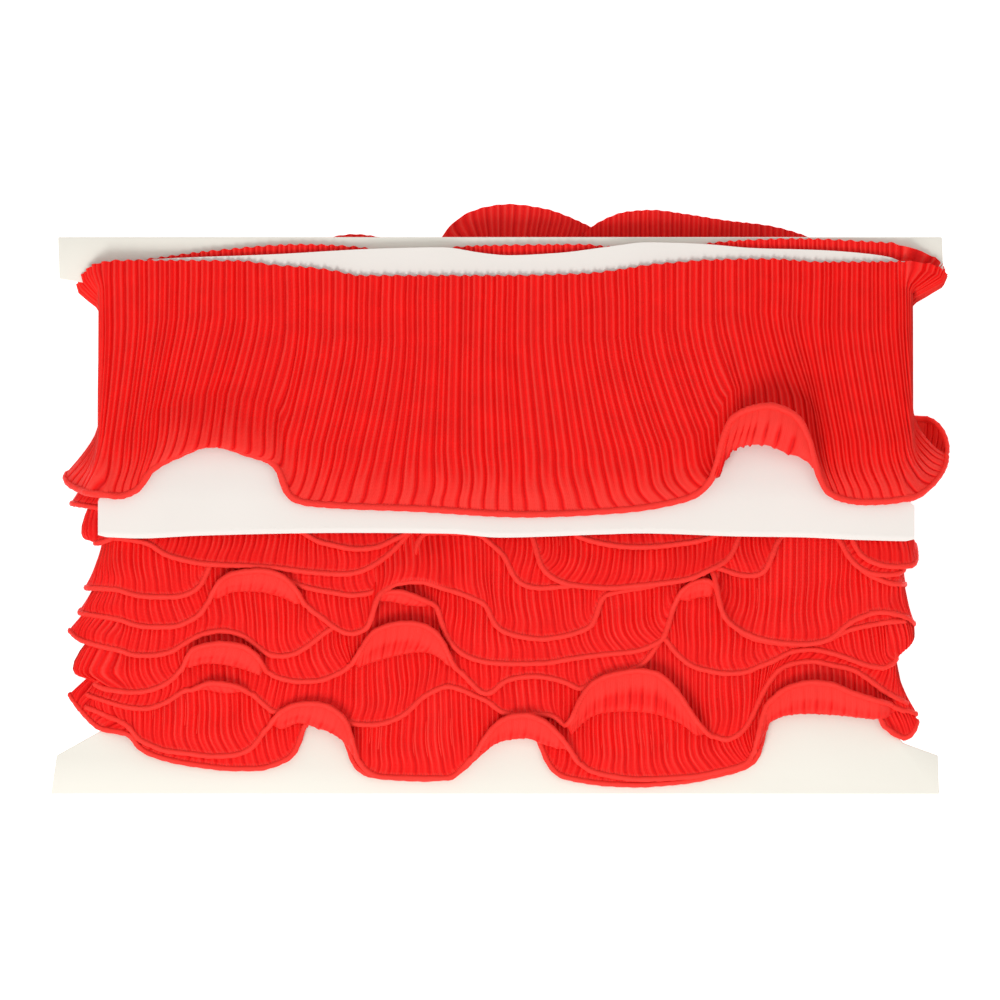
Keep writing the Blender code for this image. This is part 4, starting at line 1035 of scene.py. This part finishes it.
WOUND_TURNS = (
    wound(
        1, 101.5,
        folds(
            (-138.5, -83.6, 0, 3), (-134.5, -86.8, 0, 2), (-129, -90.8), (-123.5, -93.2), (-117.2, -94.9),
            (-106.9, -96.6), (-96.6, -97.6), (-87.6, -97.6), (-80.7, -95.9), (-75.2, -93.1), (-72.5, -88.9),
            (-71.2, -84.5, 1), (-70, -82.8, 2.5), (-66, -83, 6), (-61, -84, 6.5), (-57.6, -86.9, 4),
            (-54.8, -90.4, 1.5), (-53.5, -94.5), (-50.8, -97.9), (-46.6, -100), (-36.9, -101),
            (-26.6, -101.4), (-19.1, -100.7), (-12.8, -97.3), (-9.4, -93.8), (-3.9, -90.4, 1.5),
            (-0.4, -87.6, 3), (4.4, -86.6, 4.3), (9.9, -86.2, 4.3), (13.3, -87.6, 2.5), (15.4, -91.7, 0.5),
            (17.5, -95.9), (21.6, -100), (28.4, -101.7), (38.8, -103.1), (50.4, -103.5), (57.2, -103.1),
            (67.6, -102.1), (77.9, -100), (86.2, -97.9), (90.4, -95.9), (93.1, -93.1), (94.5, -88.9, 0.5),
            (95.5, -84.2, 2), (96.5, -81.4, 4), (98.6, -80, 6), (103.4, -78, 8), (110.3, -77.6, 9.3),
            (119.3, -78, 9.5), (129.6, -79, 7.5), (137.9, -80, 5),
        ),
        tips((146, -87.5, 0, 0.14), (150, -84, 0, 0.35), (151, -80.5, 0, 0.55)),
        behind((95, -84), (25, -94), (-60, -86)),
        tips(
            (-143.5, -84.6, 0, 0.13), (-149.5, -79.5, 0, 0.27), (-153.5, -74.5, 0, 0.4),
            (-155.8, -71, 0, 0.55),
        ),
        layer=1.2,
    ),
    wound(
        2, 98.5,
        folds(
            (-138.5, -81.5), (-131, -86.5), (-126, -89), (-120.7, -91.1), (-112.4, -92.1), (-103.5, -93.1),
            (-96.6, -92.8), (-89.7, -90.4), (-84.9, -85.5, 1.5), (-80.7, -83, 5), (-77.3, -82.8, 7.7),
            (-73.2, -80.7, 7.2), (-68, -82, 8.8), (-62, -84, 9.8), (-57.3, -86.8, 9.5), (-54.5, -89.5, 8.5),
            (-53, -93, 5), (-51, -97, 2), (-47, -99.5, 0.5), (-43, -100.5), (-18, -101), (-12.8, -97.5, 1),
            (-9.4, -95, 2.5), (-5.3, -91, 5.5), (-0.4, -87.8, 7.8), (4.4, -86.8, 9.1), (9.9, -86.4, 9.1),
            (15.5, -88.6, 9.2), (20.2, -89.8, 6.3), (25.1, -93.2, 3.6), (28.4, -97.2, 2.2), (31.9, -99, 1),
            (38.8, -100.3, 0.3), (50.4, -101.4), (68.5, -100.8, 0.3), (77.9, -98.8), (86.2, -96.7),
            (90.4, -95, 0.5), (93.1, -91, 6), (95, -85, 10), (97.2, -80.5, 8.1), (102, -78.5, 10.2),
            (107.6, -77.8, 11.6), (112.3, -77.6, 12.1), (119.3, -77.8, 11.6), (126, -78.3, 9.3),
            (136.5, -79.3, 6.9),
        ),
        tips((150.5, -78, 0)),
        behind((90, -82), (20, -90), (-70, -83)),
        tips((-149.8, -75.5, 0, 0.3)),
    ),
    wound(
        3, 82.5,
        folds(
            (-134.5, -75.6), (-127.6, -75.9), (-120.7, -73.8), (-113.8, -71, 1.5), (-110.3, -71.1, 3),
            (-104.8, -70.4, 4.6), (-100, -71.1, 5), (-93.2, -71.6, 4), (-89.7, -72, 1.8), (-84.9, -74.5),
            (-81.4, -77.3), (-76, -76), (-68, -74.5), (-62, -75.5), (-57.6, -79.5), (-53.5, -81.4),
            (-45.2, -81.7), (-38.3, -80), (-33.5, -77.3), (-28, -72.4, 0.5), (-23.1, -69.7, 0.5),
            (-19.1, -68.3, 0.5), (-13.5, -69.7, 0.5), (-9.4, -71.1), (-4.6, -73.1), (0.9, -77.3), (7, -78.5),
            (13, -78), (19, -78.3), (22, -82, 1), (25, -85.5, 5), (29.2, -81.5, 10.5), (34, -78.3, 12.8),
            (39, -77.3, 14.1), (45.7, -77, 15.2), (50.4, -77.3, 16), (55.8, -78, 15.9), (60.7, -79.5, 14),
            (64.8, -81, 10.6), (68.3, -83.5, 7.6), (71.6, -86, 5.4), (76.6, -87.5, 2), (81.4, -87.5, 0.3),
            (86.8, -84.9, 0.3), (89.6, -81.4), (91.8, -77), (94, -71.5), (97.5, -65.5), (101, -61.5),
            (106, -59.5), (112.7, -58.8), (119.5, -60.2), (126.5, -61.6), (133.5, -65.8), (138, -69),
        ),
        tips((147.2, -74.2, 0)),
        behind((70, -77), (-20, -70), (-100, -76)),
        tips((-149.5, -71, 0)),
    ),
    wound(
        4, 71.5,
        folds(
            (-145.4, -68.9), (-140, -69.8), (-134.5, -70), (-129, -69.8), (-123.5, -68.4),
            (-118.8, -66.4, 0.5), (-113.8, -63, 3), (-111.7, -60.8, 6.4), (-104.8, -59.4, 7.4),
            (-100, -59.8, 8.3), (-96.5, -60.4, 8.5), (-93.2, -61.3, 9), (-89.6, -62.5, 8.2),
            (-86.9, -63.5, 7), (-84.2, -64.1, 2), (-81, -64.8, 0.5), (-79.2, -65), (-72.5, -66.2),
            (-65.5, -65.9), (-58.7, -63.7, 0.3), (-55.8, -62.6, 0.5), (-53.5, -62.1, 2.7), (-50, -60.6, 6.8),
            (-45.2, -59, 11.9), (-39.7, -57.4, 12.5), (-34.2, -56.2, 12), (-28, -55.4, 10.5),
            (-23.1, -56.6, 9), (-19.8, -59, 6.5), (-16.9, -63, 3.6), (-14.4, -64, 1.7), (-10.8, -67, 0.8),
            (-5.4, -70.6), (-2.5, -69.9), (1, -66.3), (7.8, -64.5), (12.6, -64.2), (19.5, -65.2), (25, -67),
            (29.2, -69), (33, -66.5), (40, -63.5), (50, -61), (56, -54), (59, -49.5), (60.8, -52.6),
            (64, -56.5), (69.7, -60.8), (74.5, -62.1), (81.4, -63.2), (88.2, -62.8), (93.1, -60.8),
            (98.6, -58.7), (105.5, -55.2), (112.3, -54.5), (119.2, -55.8), (126, -58), (133, -60.5),
            (137.5, -61.2), (141.3, -61.6),
        ),
        tips(
            (145, -60.3, -1.5, 0.12), (149.5, -57, -3.5, 0.26), (151.5, -52.5, -5, 0.42),
            (150.5, -50, -6, 0.6), (147, -50, -6, 0.8),
        ),
        behind((90, -60), (10, -66), (-80, -59)),
        tips(
            (-151.5, -68.3, -1, 0.15), (-157.5, -67, -3, 0.35), (-158, -66, -3.5, 0.55),
            (-153, -64, -4, 0.75),
        ),
    ),
    wound(
        5, 60.5,
        folds(
            (-142.7, -53.9), (-137.2, -55.4), (-131.8, -56.5), (-126.2, -56.7), (-120.7, -56), (-118, -55.2),
            (-113.8, -52.5), (-106.9, -49.4, 0.5), (-100, -48.3, 0.5), (-93.1, -49.7, 0.5), (-87.6, -53.2),
            (-82.8, -56.6), (-79.3, -57), (-74.5, -56.3), (-69, -53.2), (-62.8, -48.3), (-55, -44),
            (-48, -40.5, 0.5), (-46, -39.3, 2.5), (-44, -38.6, 4.5), (-40, -38, 5), (-35, -38.6, 5.5),
            (-30, -39.8, 5), (-26, -40.6, 4), (-23, -39.8, 2), (-21.8, -41.4, 0.5), (-21.1, -45.6),
            (-19, -50.4), (-14.9, -55.2), (-9.4, -58), (-2.5, -59.4), (7.8, -59.7), (16.8, -59.4), (25, -58),
            (35.4, -56.6), (50.4, -54.9), (54.5, -53.2), (58.7, -51.1), (60.7, -46), (62.1, -41, 1),
            (64.2, -38.2, 4), (67.5, -36.9, 6), (70.4, -35.8, 6.5), (74, -35.3, 6.5), (77.3, -35.3, 5),
            (79, -37, 1.5), (81, -41), (83.5, -45), (88.9, -49.7), (95, -51.5), (102, -52.5), (109, -52.7),
            (115.9, -51.8), (120.6, -50), (123.8, -48.2), (127.6, -47), (131.8, -46), (140, -44.7),
            (145.5, -44.3),
        ),
        tips((146.5, -44.3, 0)),
        behind((75, -52), (-5, -46), (-95, -53)),
        tips((-151, -51.7, 0, 0.2), (-155.7, -47.7, 0, 0.5)),
    ),
    wound(
        6, 49.5,
        folds(
            (-137.2, -43.9), (-131.8, -45.6), (-126.2, -46.4), (-120.7, -46.4), (-117.3, -46.3),
            (-111.7, -44.2), (-107, -41.5, 0.5, 2), (-103.5, -37.5, 4, 3), (-100, -35.3, 6.9, 3.5),
            (-95, -33.5, 7.4, 4), (-87.5, -33.5, 8.2, 4), (-80.6, -34.9, 8.6, 4), (-73.8, -37.7, 6.3, 3),
            (-69.8, -40.8, 2.3, 2), (-65.5, -42.1), (-60, -46.3), (-54, -48.9, 0, 1.5),
            (-48.6, -47.5, 0, 2.5), (-46.2, -44.3, 0, 4), (-45.4, -40.7, 0, 5), (-44.9, -37.4, -1, 6),
            (-41.5, -34.6, -1.5, 6.5), (-37, -32.4, -2, 6.5), (-29, -31.7, -2, 6.5), (-21.6, -33.8, -2, 5),
            (-13.7, -36.4, -2), (-7.9, -38.5, -1.5), (-4.2, -39.6, -0.5), (-3.6, -42.5), (-2.5, -45),
            (1.6, -48.2), (7.9, -50), (14.8, -50.8), (21.6, -50), (28.4, -48.2), (33.3, -45.7), (35.3, -41.4),
            (35.6, -37.4), (36.5, -35.6), (38.9, -34.6), (45.7, -33.1), (50.4, -32.4), (57, -31), (62, -28.5),
            (68, -26), (74, -25), (77, -26, 0, 3), (78, -28.5, 0, 4.5), (78.1, -33.9, 0, 5.5),
            (78.7, -38.7, 0, 5), (80.6, -42.8, 0, 4), (84.2, -46.3, 0, 2.5), (88.9, -49, 0, 1.5), (95, -51.1),
            (102, -52.2), (109, -52.6), (115.9, -51.8), (120.6, -49.7), (123.8, -46.5), (127.6, -43.9),
            (131.8, -42.3), (134.5, -41.2), (140, -41.2),
        ),
        tips((147, -43, 0, 0.15), (149.6, -45.5, 0, 0.4)),
        behind((85, -36), (-10, -42), (-85, -36)),
        tips((-152.1, -41.4, 0)),
    ),
    wound(
        7, 37.0,
        folds(
            (-140, -32.9), (-134.5, -34), (-128.9, -35.3), (-123.5, -35.6), (-117.3, -35.6), (-111, -34),
            (-107, -30.5), (-105.2, -27), (-104.6, -23.5), (-102, -21.5), (-92, -20.5), (-83, -25),
            (-75.5, -30.2), (-65.5, -33.1), (-58.7, -34.2), (-54, -35), (-46.4, -34.2), (-41.5, -31.5),
            (-34, -28.5), (-31, -24), (-30.5, -19), (-29.5, -15.3, -1), (-25, -14.3, -2), (-8, -14.8, -2),
            (-5.5, -16, -1.5), (-1, -19.5, -1), (2, -21.7, -0.5), (3.2, -24.8), (5, -28.5), (9, -31.5),
            (14.8, -32.4), (23.8, -31.7), (36, -31), (50.5, -30.3), (60, -28), (72, -24), (79.9, -25.6),
            (84.9, -27.4), (88.9, -28), (93.1, -27.7), (95.9, -25.6), (97.9, -21.5), (98.8, -17.5),
            (101.5, -14.5, -1), (110, -12.8, -1), (120, -13.5), (126, -20), (131, -26.5), (133.9, -28.2),
            (137, -29.5), (141, -30.8),
        ),
        tips((146.3, -31.2, 0)),
        behind((60, -30), (-20, -24), (-100, -30)),
        tips((-149.8, -32.4, 0)),
    ),
    wound(
        8, 28.5,
        folds(
            (-138, -14.5, 0, 0.5), (-127, -16.2, 0, 0.5), (-120.5, -20.3, 0, 0.8), (-113.8, -22.3),
            (-107, -23.6), (-97, -24.2, 0, 1.3), (-89.6, -24.5, 0, 1.3), (-79.3, -25.3, 0, 1.3),
            (-69, -26.6, 0, 1.3), (-56, -27.4), (-50.8, -26.6), (-43.9, -23.2, 0, 0.8),
            (-38.2, -18.7, 0, 0.5), (-34.9, -15.1, 0, 0.3), (-31, -11, 0, 0.3), (-20, -10, 0, 0.3),
            (8, -10.5, 0, 0.3), (12, -13, 0, 0.3), (12.6, -14.6, 0, 0.3), (13, -20.2, 0, 0.5),
            (14.4, -24.1, 0, 0.8), (17.5, -27.7), (23.8, -30.8), (32, -32), (38.9, -32.4), (50.4, -31.5),
            (57.2, -30.8, 0, 2), (67.7, -29.2, 0, 3), (74.5, -26.3, 0, 3), (79.9, -23.6, 0, 1.5),
            (83.5, -20.2, 0, 0.5), (85, -17.3, 0, 0.3), (85.4, -14.6, 0, 0.3), (87.5, -11, 0, 0.3),
            (100, -10, 0, 0.3), (118, -11, 0, 0.3), (122.7, -15.5, 0, 0.3), (124.2, -19.4, 0, 0.5),
            (126.2, -22.2, 0, 0.6), (128.9, -24.8, 0, 0.8), (131.8, -26.6, 0, 0.8), (134.5, -27.4, 0, 0.8),
            (138.6, -27.7, 0, 0.6), (142.7, -27.5, 0, 0.5),
        ),
        tips((146, -25, 0, 0.3)),
        behind((80, -16), (0, -21), (-80, -15)),
        tips((-147, -13.5, 0)),
    ),
    wound(
        9, 20.1,
        folds(
            (-142, -17.5, 0, 0.5), (-139.5, -12, 0, 0.3), (-130, -10, 0, 0.3), (-90, -9, 0, 0.3),
            (-72, -12, 0, 0.5), (-65, -15.8, 0, 0.7), (-59.8, -17, 0, 0.8), (-54, -18.2, 0, 0.8),
            (-50.8, -18.4, 0, 0.8), (-43.9, -17.6, 0, 0.7), (-38.9, -15.3, 0, 0.6), (-34.9, -13.3, 0, 0.5),
            (-30, -10, 0, 0.4), (-20, -8, 0, 0.3), (15, -8, 0, 0.3), (24, -11, 0, 0.4), (28.5, -14, 0, 0.5),
            (33.4, -15.6, 0, 0.6), (40.3, -17, 0, 0.7), (45.7, -17.6, 0, 0.8), (50.4, -17.7, 0, 0.8),
            (57.2, -17.4, 0, 0.7), (64, -16.6, 0, 0.6), (71, -15.6, 0, 0.5), (77.8, -13.3, 0, 0.4),
            (84, -10, 0, 0.3), (115, -9, 0, 0.3), (125, -12, 0, 0.3), (127.3, -16.1, 0, 0.3),
            (128.4, -19, 0, 0.4), (131.2, -21.6, 0, 0.5), (134.5, -23.3, 0, 0.5), (138.6, -24.4, 0, 0.5),
            (142.7, -24.7, 0, 0.5),
        ),
        tips((148.3, -24.6, 0, 0.12), (150.3, -22, 0, 0.3), (150.3, -19, 0, 0.5)),
        behind((70, -7), (-10, -12), (-90, -8)),
        tips(
            (-149, -17.8, -1.5, 0.12), (-152.8, -17.6, -3, 0.3), (-153, -16.8, -4, 0.5), (-150, -15, -5, 0.8),
        ),
    ),
    wound(
        10, 10.0,
        folds((-139, -4, 0, 0.2), (-60, -6, 0, 0.2), (20, -3, 0, 0.2), (141, -3, 0, 0.2)),
        tips((148, 0, 0)),
        behind((90, 0), (10, -5), (-90, -1)),
        tips((-155, -2, 0)),
    ),
    wound(
        11, 0.0,
        folds((-139, 3, 0, 0.2), (-40, 1, 0, 0.2), (60, 4, 0, 0.2), (141, 3, 0, 0.2)),
        tips((148.5, 6, 0)),
        behind((80, 8), (0, 2), (-80, 6)),
        tips((-147, 5, 0)),
        top_right=rims(
            (150.5, 90.7, 0.05), (155.8, 88.2, 0.13), (159.4, 85.3, 0.24), (160.8, 82.5, 0.4),
            (158, 80.5, 0.65), (150, 83, 0.9),
        ),
        top_back=edges(
            (125, 88), (111.5, 95), (97, 99, -1), (82, 100.8, -1.5), (66, 103.3, -1.8), (55, 104.6, -2),
            (46, 104, -2), (36.5, 100.6, -2), (29.5, 95.5, -1.5), (24, 89, -1), (-36, 88), (-41, 94),
            (-47, 95.4), (-53, 95.9), (-58, 95.4), (-63.5, 94), (-70, 88), (-130, 86),
        ),
    ),
)


def dress(thing: bpy.types.Object, solid: Solid) -> None:
    """Say what a piece rides on, which solid it replaces."""
    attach(thing, "root")
    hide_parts(solid.value)


def dress_sheet(thing: bpy.types.Object, turn: RibbonTurn) -> None:
    """Say what a turn replaces and rides on."""
    dress(thing, turn.solid)


@dataclass
class StripSizes:
    """The stiff strip's outline and build."""

    bottom: tuple = edges(
        (-144.5, -13.5), (-129.6, -14), (-108, -13), (-54, -12), (-18, -12.3), (0, -13.7), (36, -12.6),
        (50.5, -12.2), (86.5, -13.3), (108, -13.6), (130, -14.6), (149, -15),
    )
    top: tuple = edges(
        (-142, 85), (-126, 86.5), (-85, 88.1), (-43, 90.3), (-22, 90.7), (-7, 88.6), (2, 87.8), (20, 88.6),
        (39, 90.9), (53, 92.5), (64, 92.3), (75, 91.8), (92, 90.4), (116, 89.7), (137, 88), (143, 86.9),
        (147.2, 85.5),
    )
    left: tuple = ((-15.0, -144.5), (-0.5, -144.5), (2.5, -141.2), (93.0, -141.2))
    right: tuple = ((-15.0, 149.0), (-2.5, 149.0), (0.5, 145.2), (78.0, 145.2), (84.0, 147.2), (93.0, 147.2))
    columns: int = 96
    rows: int = 60
    crease: float = 1.7
    roll: float = 0.45
    corner: float = 1.4
    packing: float = 1.8
    bevel: float = 0.22


@dataclass
class Strip:
    """The stiff white strip under the last turn."""

    sizes: StripSizes
    finish: PaperFinish

    def build(self) -> None:
        """Lay a grid over the wound turns, thicken it and round its edges."""
        sizes = self.sizes
        bpy.ops.object.select_all(action="DESELECT")
        bpy.ops.mesh.primitive_grid_add(x_subdivisions=sizes.columns, y_subdivisions=sizes.rows, size=2.0)
        strip = bpy.context.object
        strip.name = strip.data.name = "stiff_strip"
        mesh = strip.data
        points = np.zeros(len(mesh.vertices) * 3, np.float32)
        mesh.vertices.foreach_get("co", points)
        points = points.reshape(-1, 3).astype(float)
        across, up = (points[:, 0] + 1.0) / 2.0, (points[:, 1] + 1.0) / 2.0
        middle = mix(STRIP_LEFT, STRIP_RIGHT, across)
        bottom = read_rows(sizes.bottom, middle)
        y = mix(bottom, read_rows(sizes.top, middle), up**sizes.packing)
        x = mix(read_rows(sizes.left, y), read_rows(sizes.right, y), across)
        for end in (STRIP_LEFT, STRIP_RIGHT):
            near = np.clip(1.0 - np.abs(x - end) / sizes.corner, 0.0, 1.0)
            low = np.clip(1.0 - (y - bottom) / sizes.corner, 0.0, 1.0)
            y = y + sizes.corner * 0.5 * near**2 * low
        rolled = np.clip(1.0 - (y - bottom) / sizes.crease, 0.0, 1.0) ** 1.5
        z = strip_height(y) + STRIP_THICKNESS / 2.0 - sizes.roll * rolled
        mesh.vertices.foreach_set("co", (np.stack([x, y, z], axis=-1) * MM).astype(np.float32).ravel())
        mesh.update()
        shell = strip.modifiers.new("Thickness", "SOLIDIFY")
        shell.thickness = STRIP_THICKNESS * MM
        shell.offset = 0.0
        finish_board(strip, sizes.bevel, self.finish)
        dress(strip, Solid.STRIP)
        LOG.info("stiff strip: %d faces", len(strip.data.polygons))


@dataclass
class Card:
    """The flat card with its two flanges and its neck."""

    finish: PaperFinish
    edge: float = 0.35

    def build(self) -> None:
        """Copy the card's own form, merge it and round its cut edges."""
        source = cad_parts[Solid.CARD.value]
        mesh = source.data.copy()
        mesh.name = "card_board"
        card = bpy.data.objects.new("card_board", mesh)
        bpy.context.scene.collection.objects.link(card)
        bpy.ops.object.select_all(action="DESELECT")
        bpy.context.view_layer.objects.active = card
        card.select_set(True)
        bpy.ops.object.mode_set(mode="EDIT")
        bpy.ops.mesh.select_all(action="SELECT")
        bpy.ops.mesh.remove_doubles(threshold=0.00001)
        bpy.ops.mesh.dissolve_limited(angle_limit=math.radians(2.0))
        bpy.ops.object.mode_set(mode="OBJECT")
        finish_board(card, self.edge, self.finish)
        bpy.ops.object.shade_smooth_by_angle(angle=math.radians(35.0))
        dress(card, Solid.CARD)
        LOG.info("card: %d faces", len(card.data.polygons))


def finish_board(thing: bpy.types.Object, width: float, finish: PaperFinish) -> None:
    """Round the active object's sharp edges, apply its modifiers and give it its finish.

    Args:
        thing: the object.
        width: the bevel's width in millimetres.
        finish: its look.
    """
    bevel = thing.modifiers.new("Round edges", "BEVEL")
    bevel.width = width * MM
    bevel.segments = 2
    bevel.limit_method = "ANGLE"
    bevel.angle_limit = math.radians(50.0)
    for modifier in list(thing.modifiers):
        bpy.ops.object.modifier_apply(modifier=modifier.name)
    thing.data.materials.clear()
    thing.data.materials.append(finish.material())


@dataclass
class Studio:
    """The floor, the soft light and the camera."""

    distance: float = 3.0
    width: float = 0.36
    middle_height: float = 0.0175
    centre: tuple = (0.0, -0.00036)
    key: float = 14.0
    side: float = 2.5
    fill: float = 0.6
    floor_glow: float = 0.8
    floor_size: float = 6.0
    floor_tone: float = 0.75
    sensor: float = 36.0

    def build(self) -> None:
        """Set up the stage round the object."""
        scene = bpy.context.scene
        bpy.ops.object.select_all(action="DESELECT")
        bpy.ops.mesh.primitive_plane_add(size=self.floor_size, location=(0.0, 0.0, 0.0))
        floor = bpy.context.object
        floor.name = "floor"
        floor.data.transform(floor.matrix_world)
        white = (1.0, 1.0, 1.0, 1.0)
        made = NodeMaterial("floor_white")
        made.fill(made.shader, {
            "Base Color": (self.floor_tone, self.floor_tone, self.floor_tone, 1.0),
            "Roughness": 0.9,
            "Emission Color": white,
            "Emission Strength": self.floor_glow,
        })
        floor.data.materials.append(made.material)
        world = bpy.data.worlds.new("soft_room")
        world.use_nodes = True
        background = world.node_tree.nodes["Background"]
        background.inputs["Color"].default_value = white
        background.inputs["Strength"].default_value = self.fill
        scene.world = world
        self.lamp("soft_key", (-0.45, -0.95, 1.25), 0.7, self.key)
        self.lamp("soft_side", (0.7, 0.1, 1.4), 1.0, self.side)
        camera = bpy.data.objects.new("camera", bpy.data.cameras.new("camera"))
        scene.collection.objects.link(camera)
        camera.location = (self.centre[0], self.centre[1], self.distance)
        camera.data.sensor_width = self.sensor
        camera.data.lens = self.sensor * (self.distance - self.middle_height) / self.width
        camera.data.clip_start = 0.1
        camera.data.clip_end = 20.0
        scene.camera = camera
        scene.view_settings.view_transform = "Standard"
        scene.view_settings.look = "None"

    def lamp(self, name: str, place: tuple, size: float, power: float) -> None:
        """Add a square soft lamp that points at the object."""
        light = bpy.data.lights.new(name, "AREA")
        light.size = size
        light.energy = power
        lamp = bpy.data.objects.new(name, light)
        bpy.context.scene.collection.objects.link(lamp)
        lamp.location = place
        lamp.rotation_mode = "QUATERNION"
        lamp.rotation_quaternion = (-Vector(place)).to_track_quat("-Z", "Y")


def main() -> None:
    """Build the card, the strip, the turns and the stage."""
    logging.basicConfig(level=logging.INFO, format="%(message)s")
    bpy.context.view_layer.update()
    card_finish = PaperFinish("card_cream", (0.875, 0.84, 0.755, 1.0), (0.85, 0.815, 0.73, 1.0), 0.8, 0.15)
    strip_finish = PaperFinish("strip_white", (0.86, 0.81, 0.76, 1.0), (0.83, 0.78, 0.73, 1.0), 0.6, 0.1)
    Card(card_finish).build()
    Strip(StripSizes(), strip_finish).build()
    cloth = RibbonFinish().material()
    for turn in WOUND_TURNS:
        dress_sheet(turn.build(cloth), turn)
    dress_sheet(OUTER.build(cloth), OUTER)
    Studio().build()


if __name__ == "__main__":
    main()
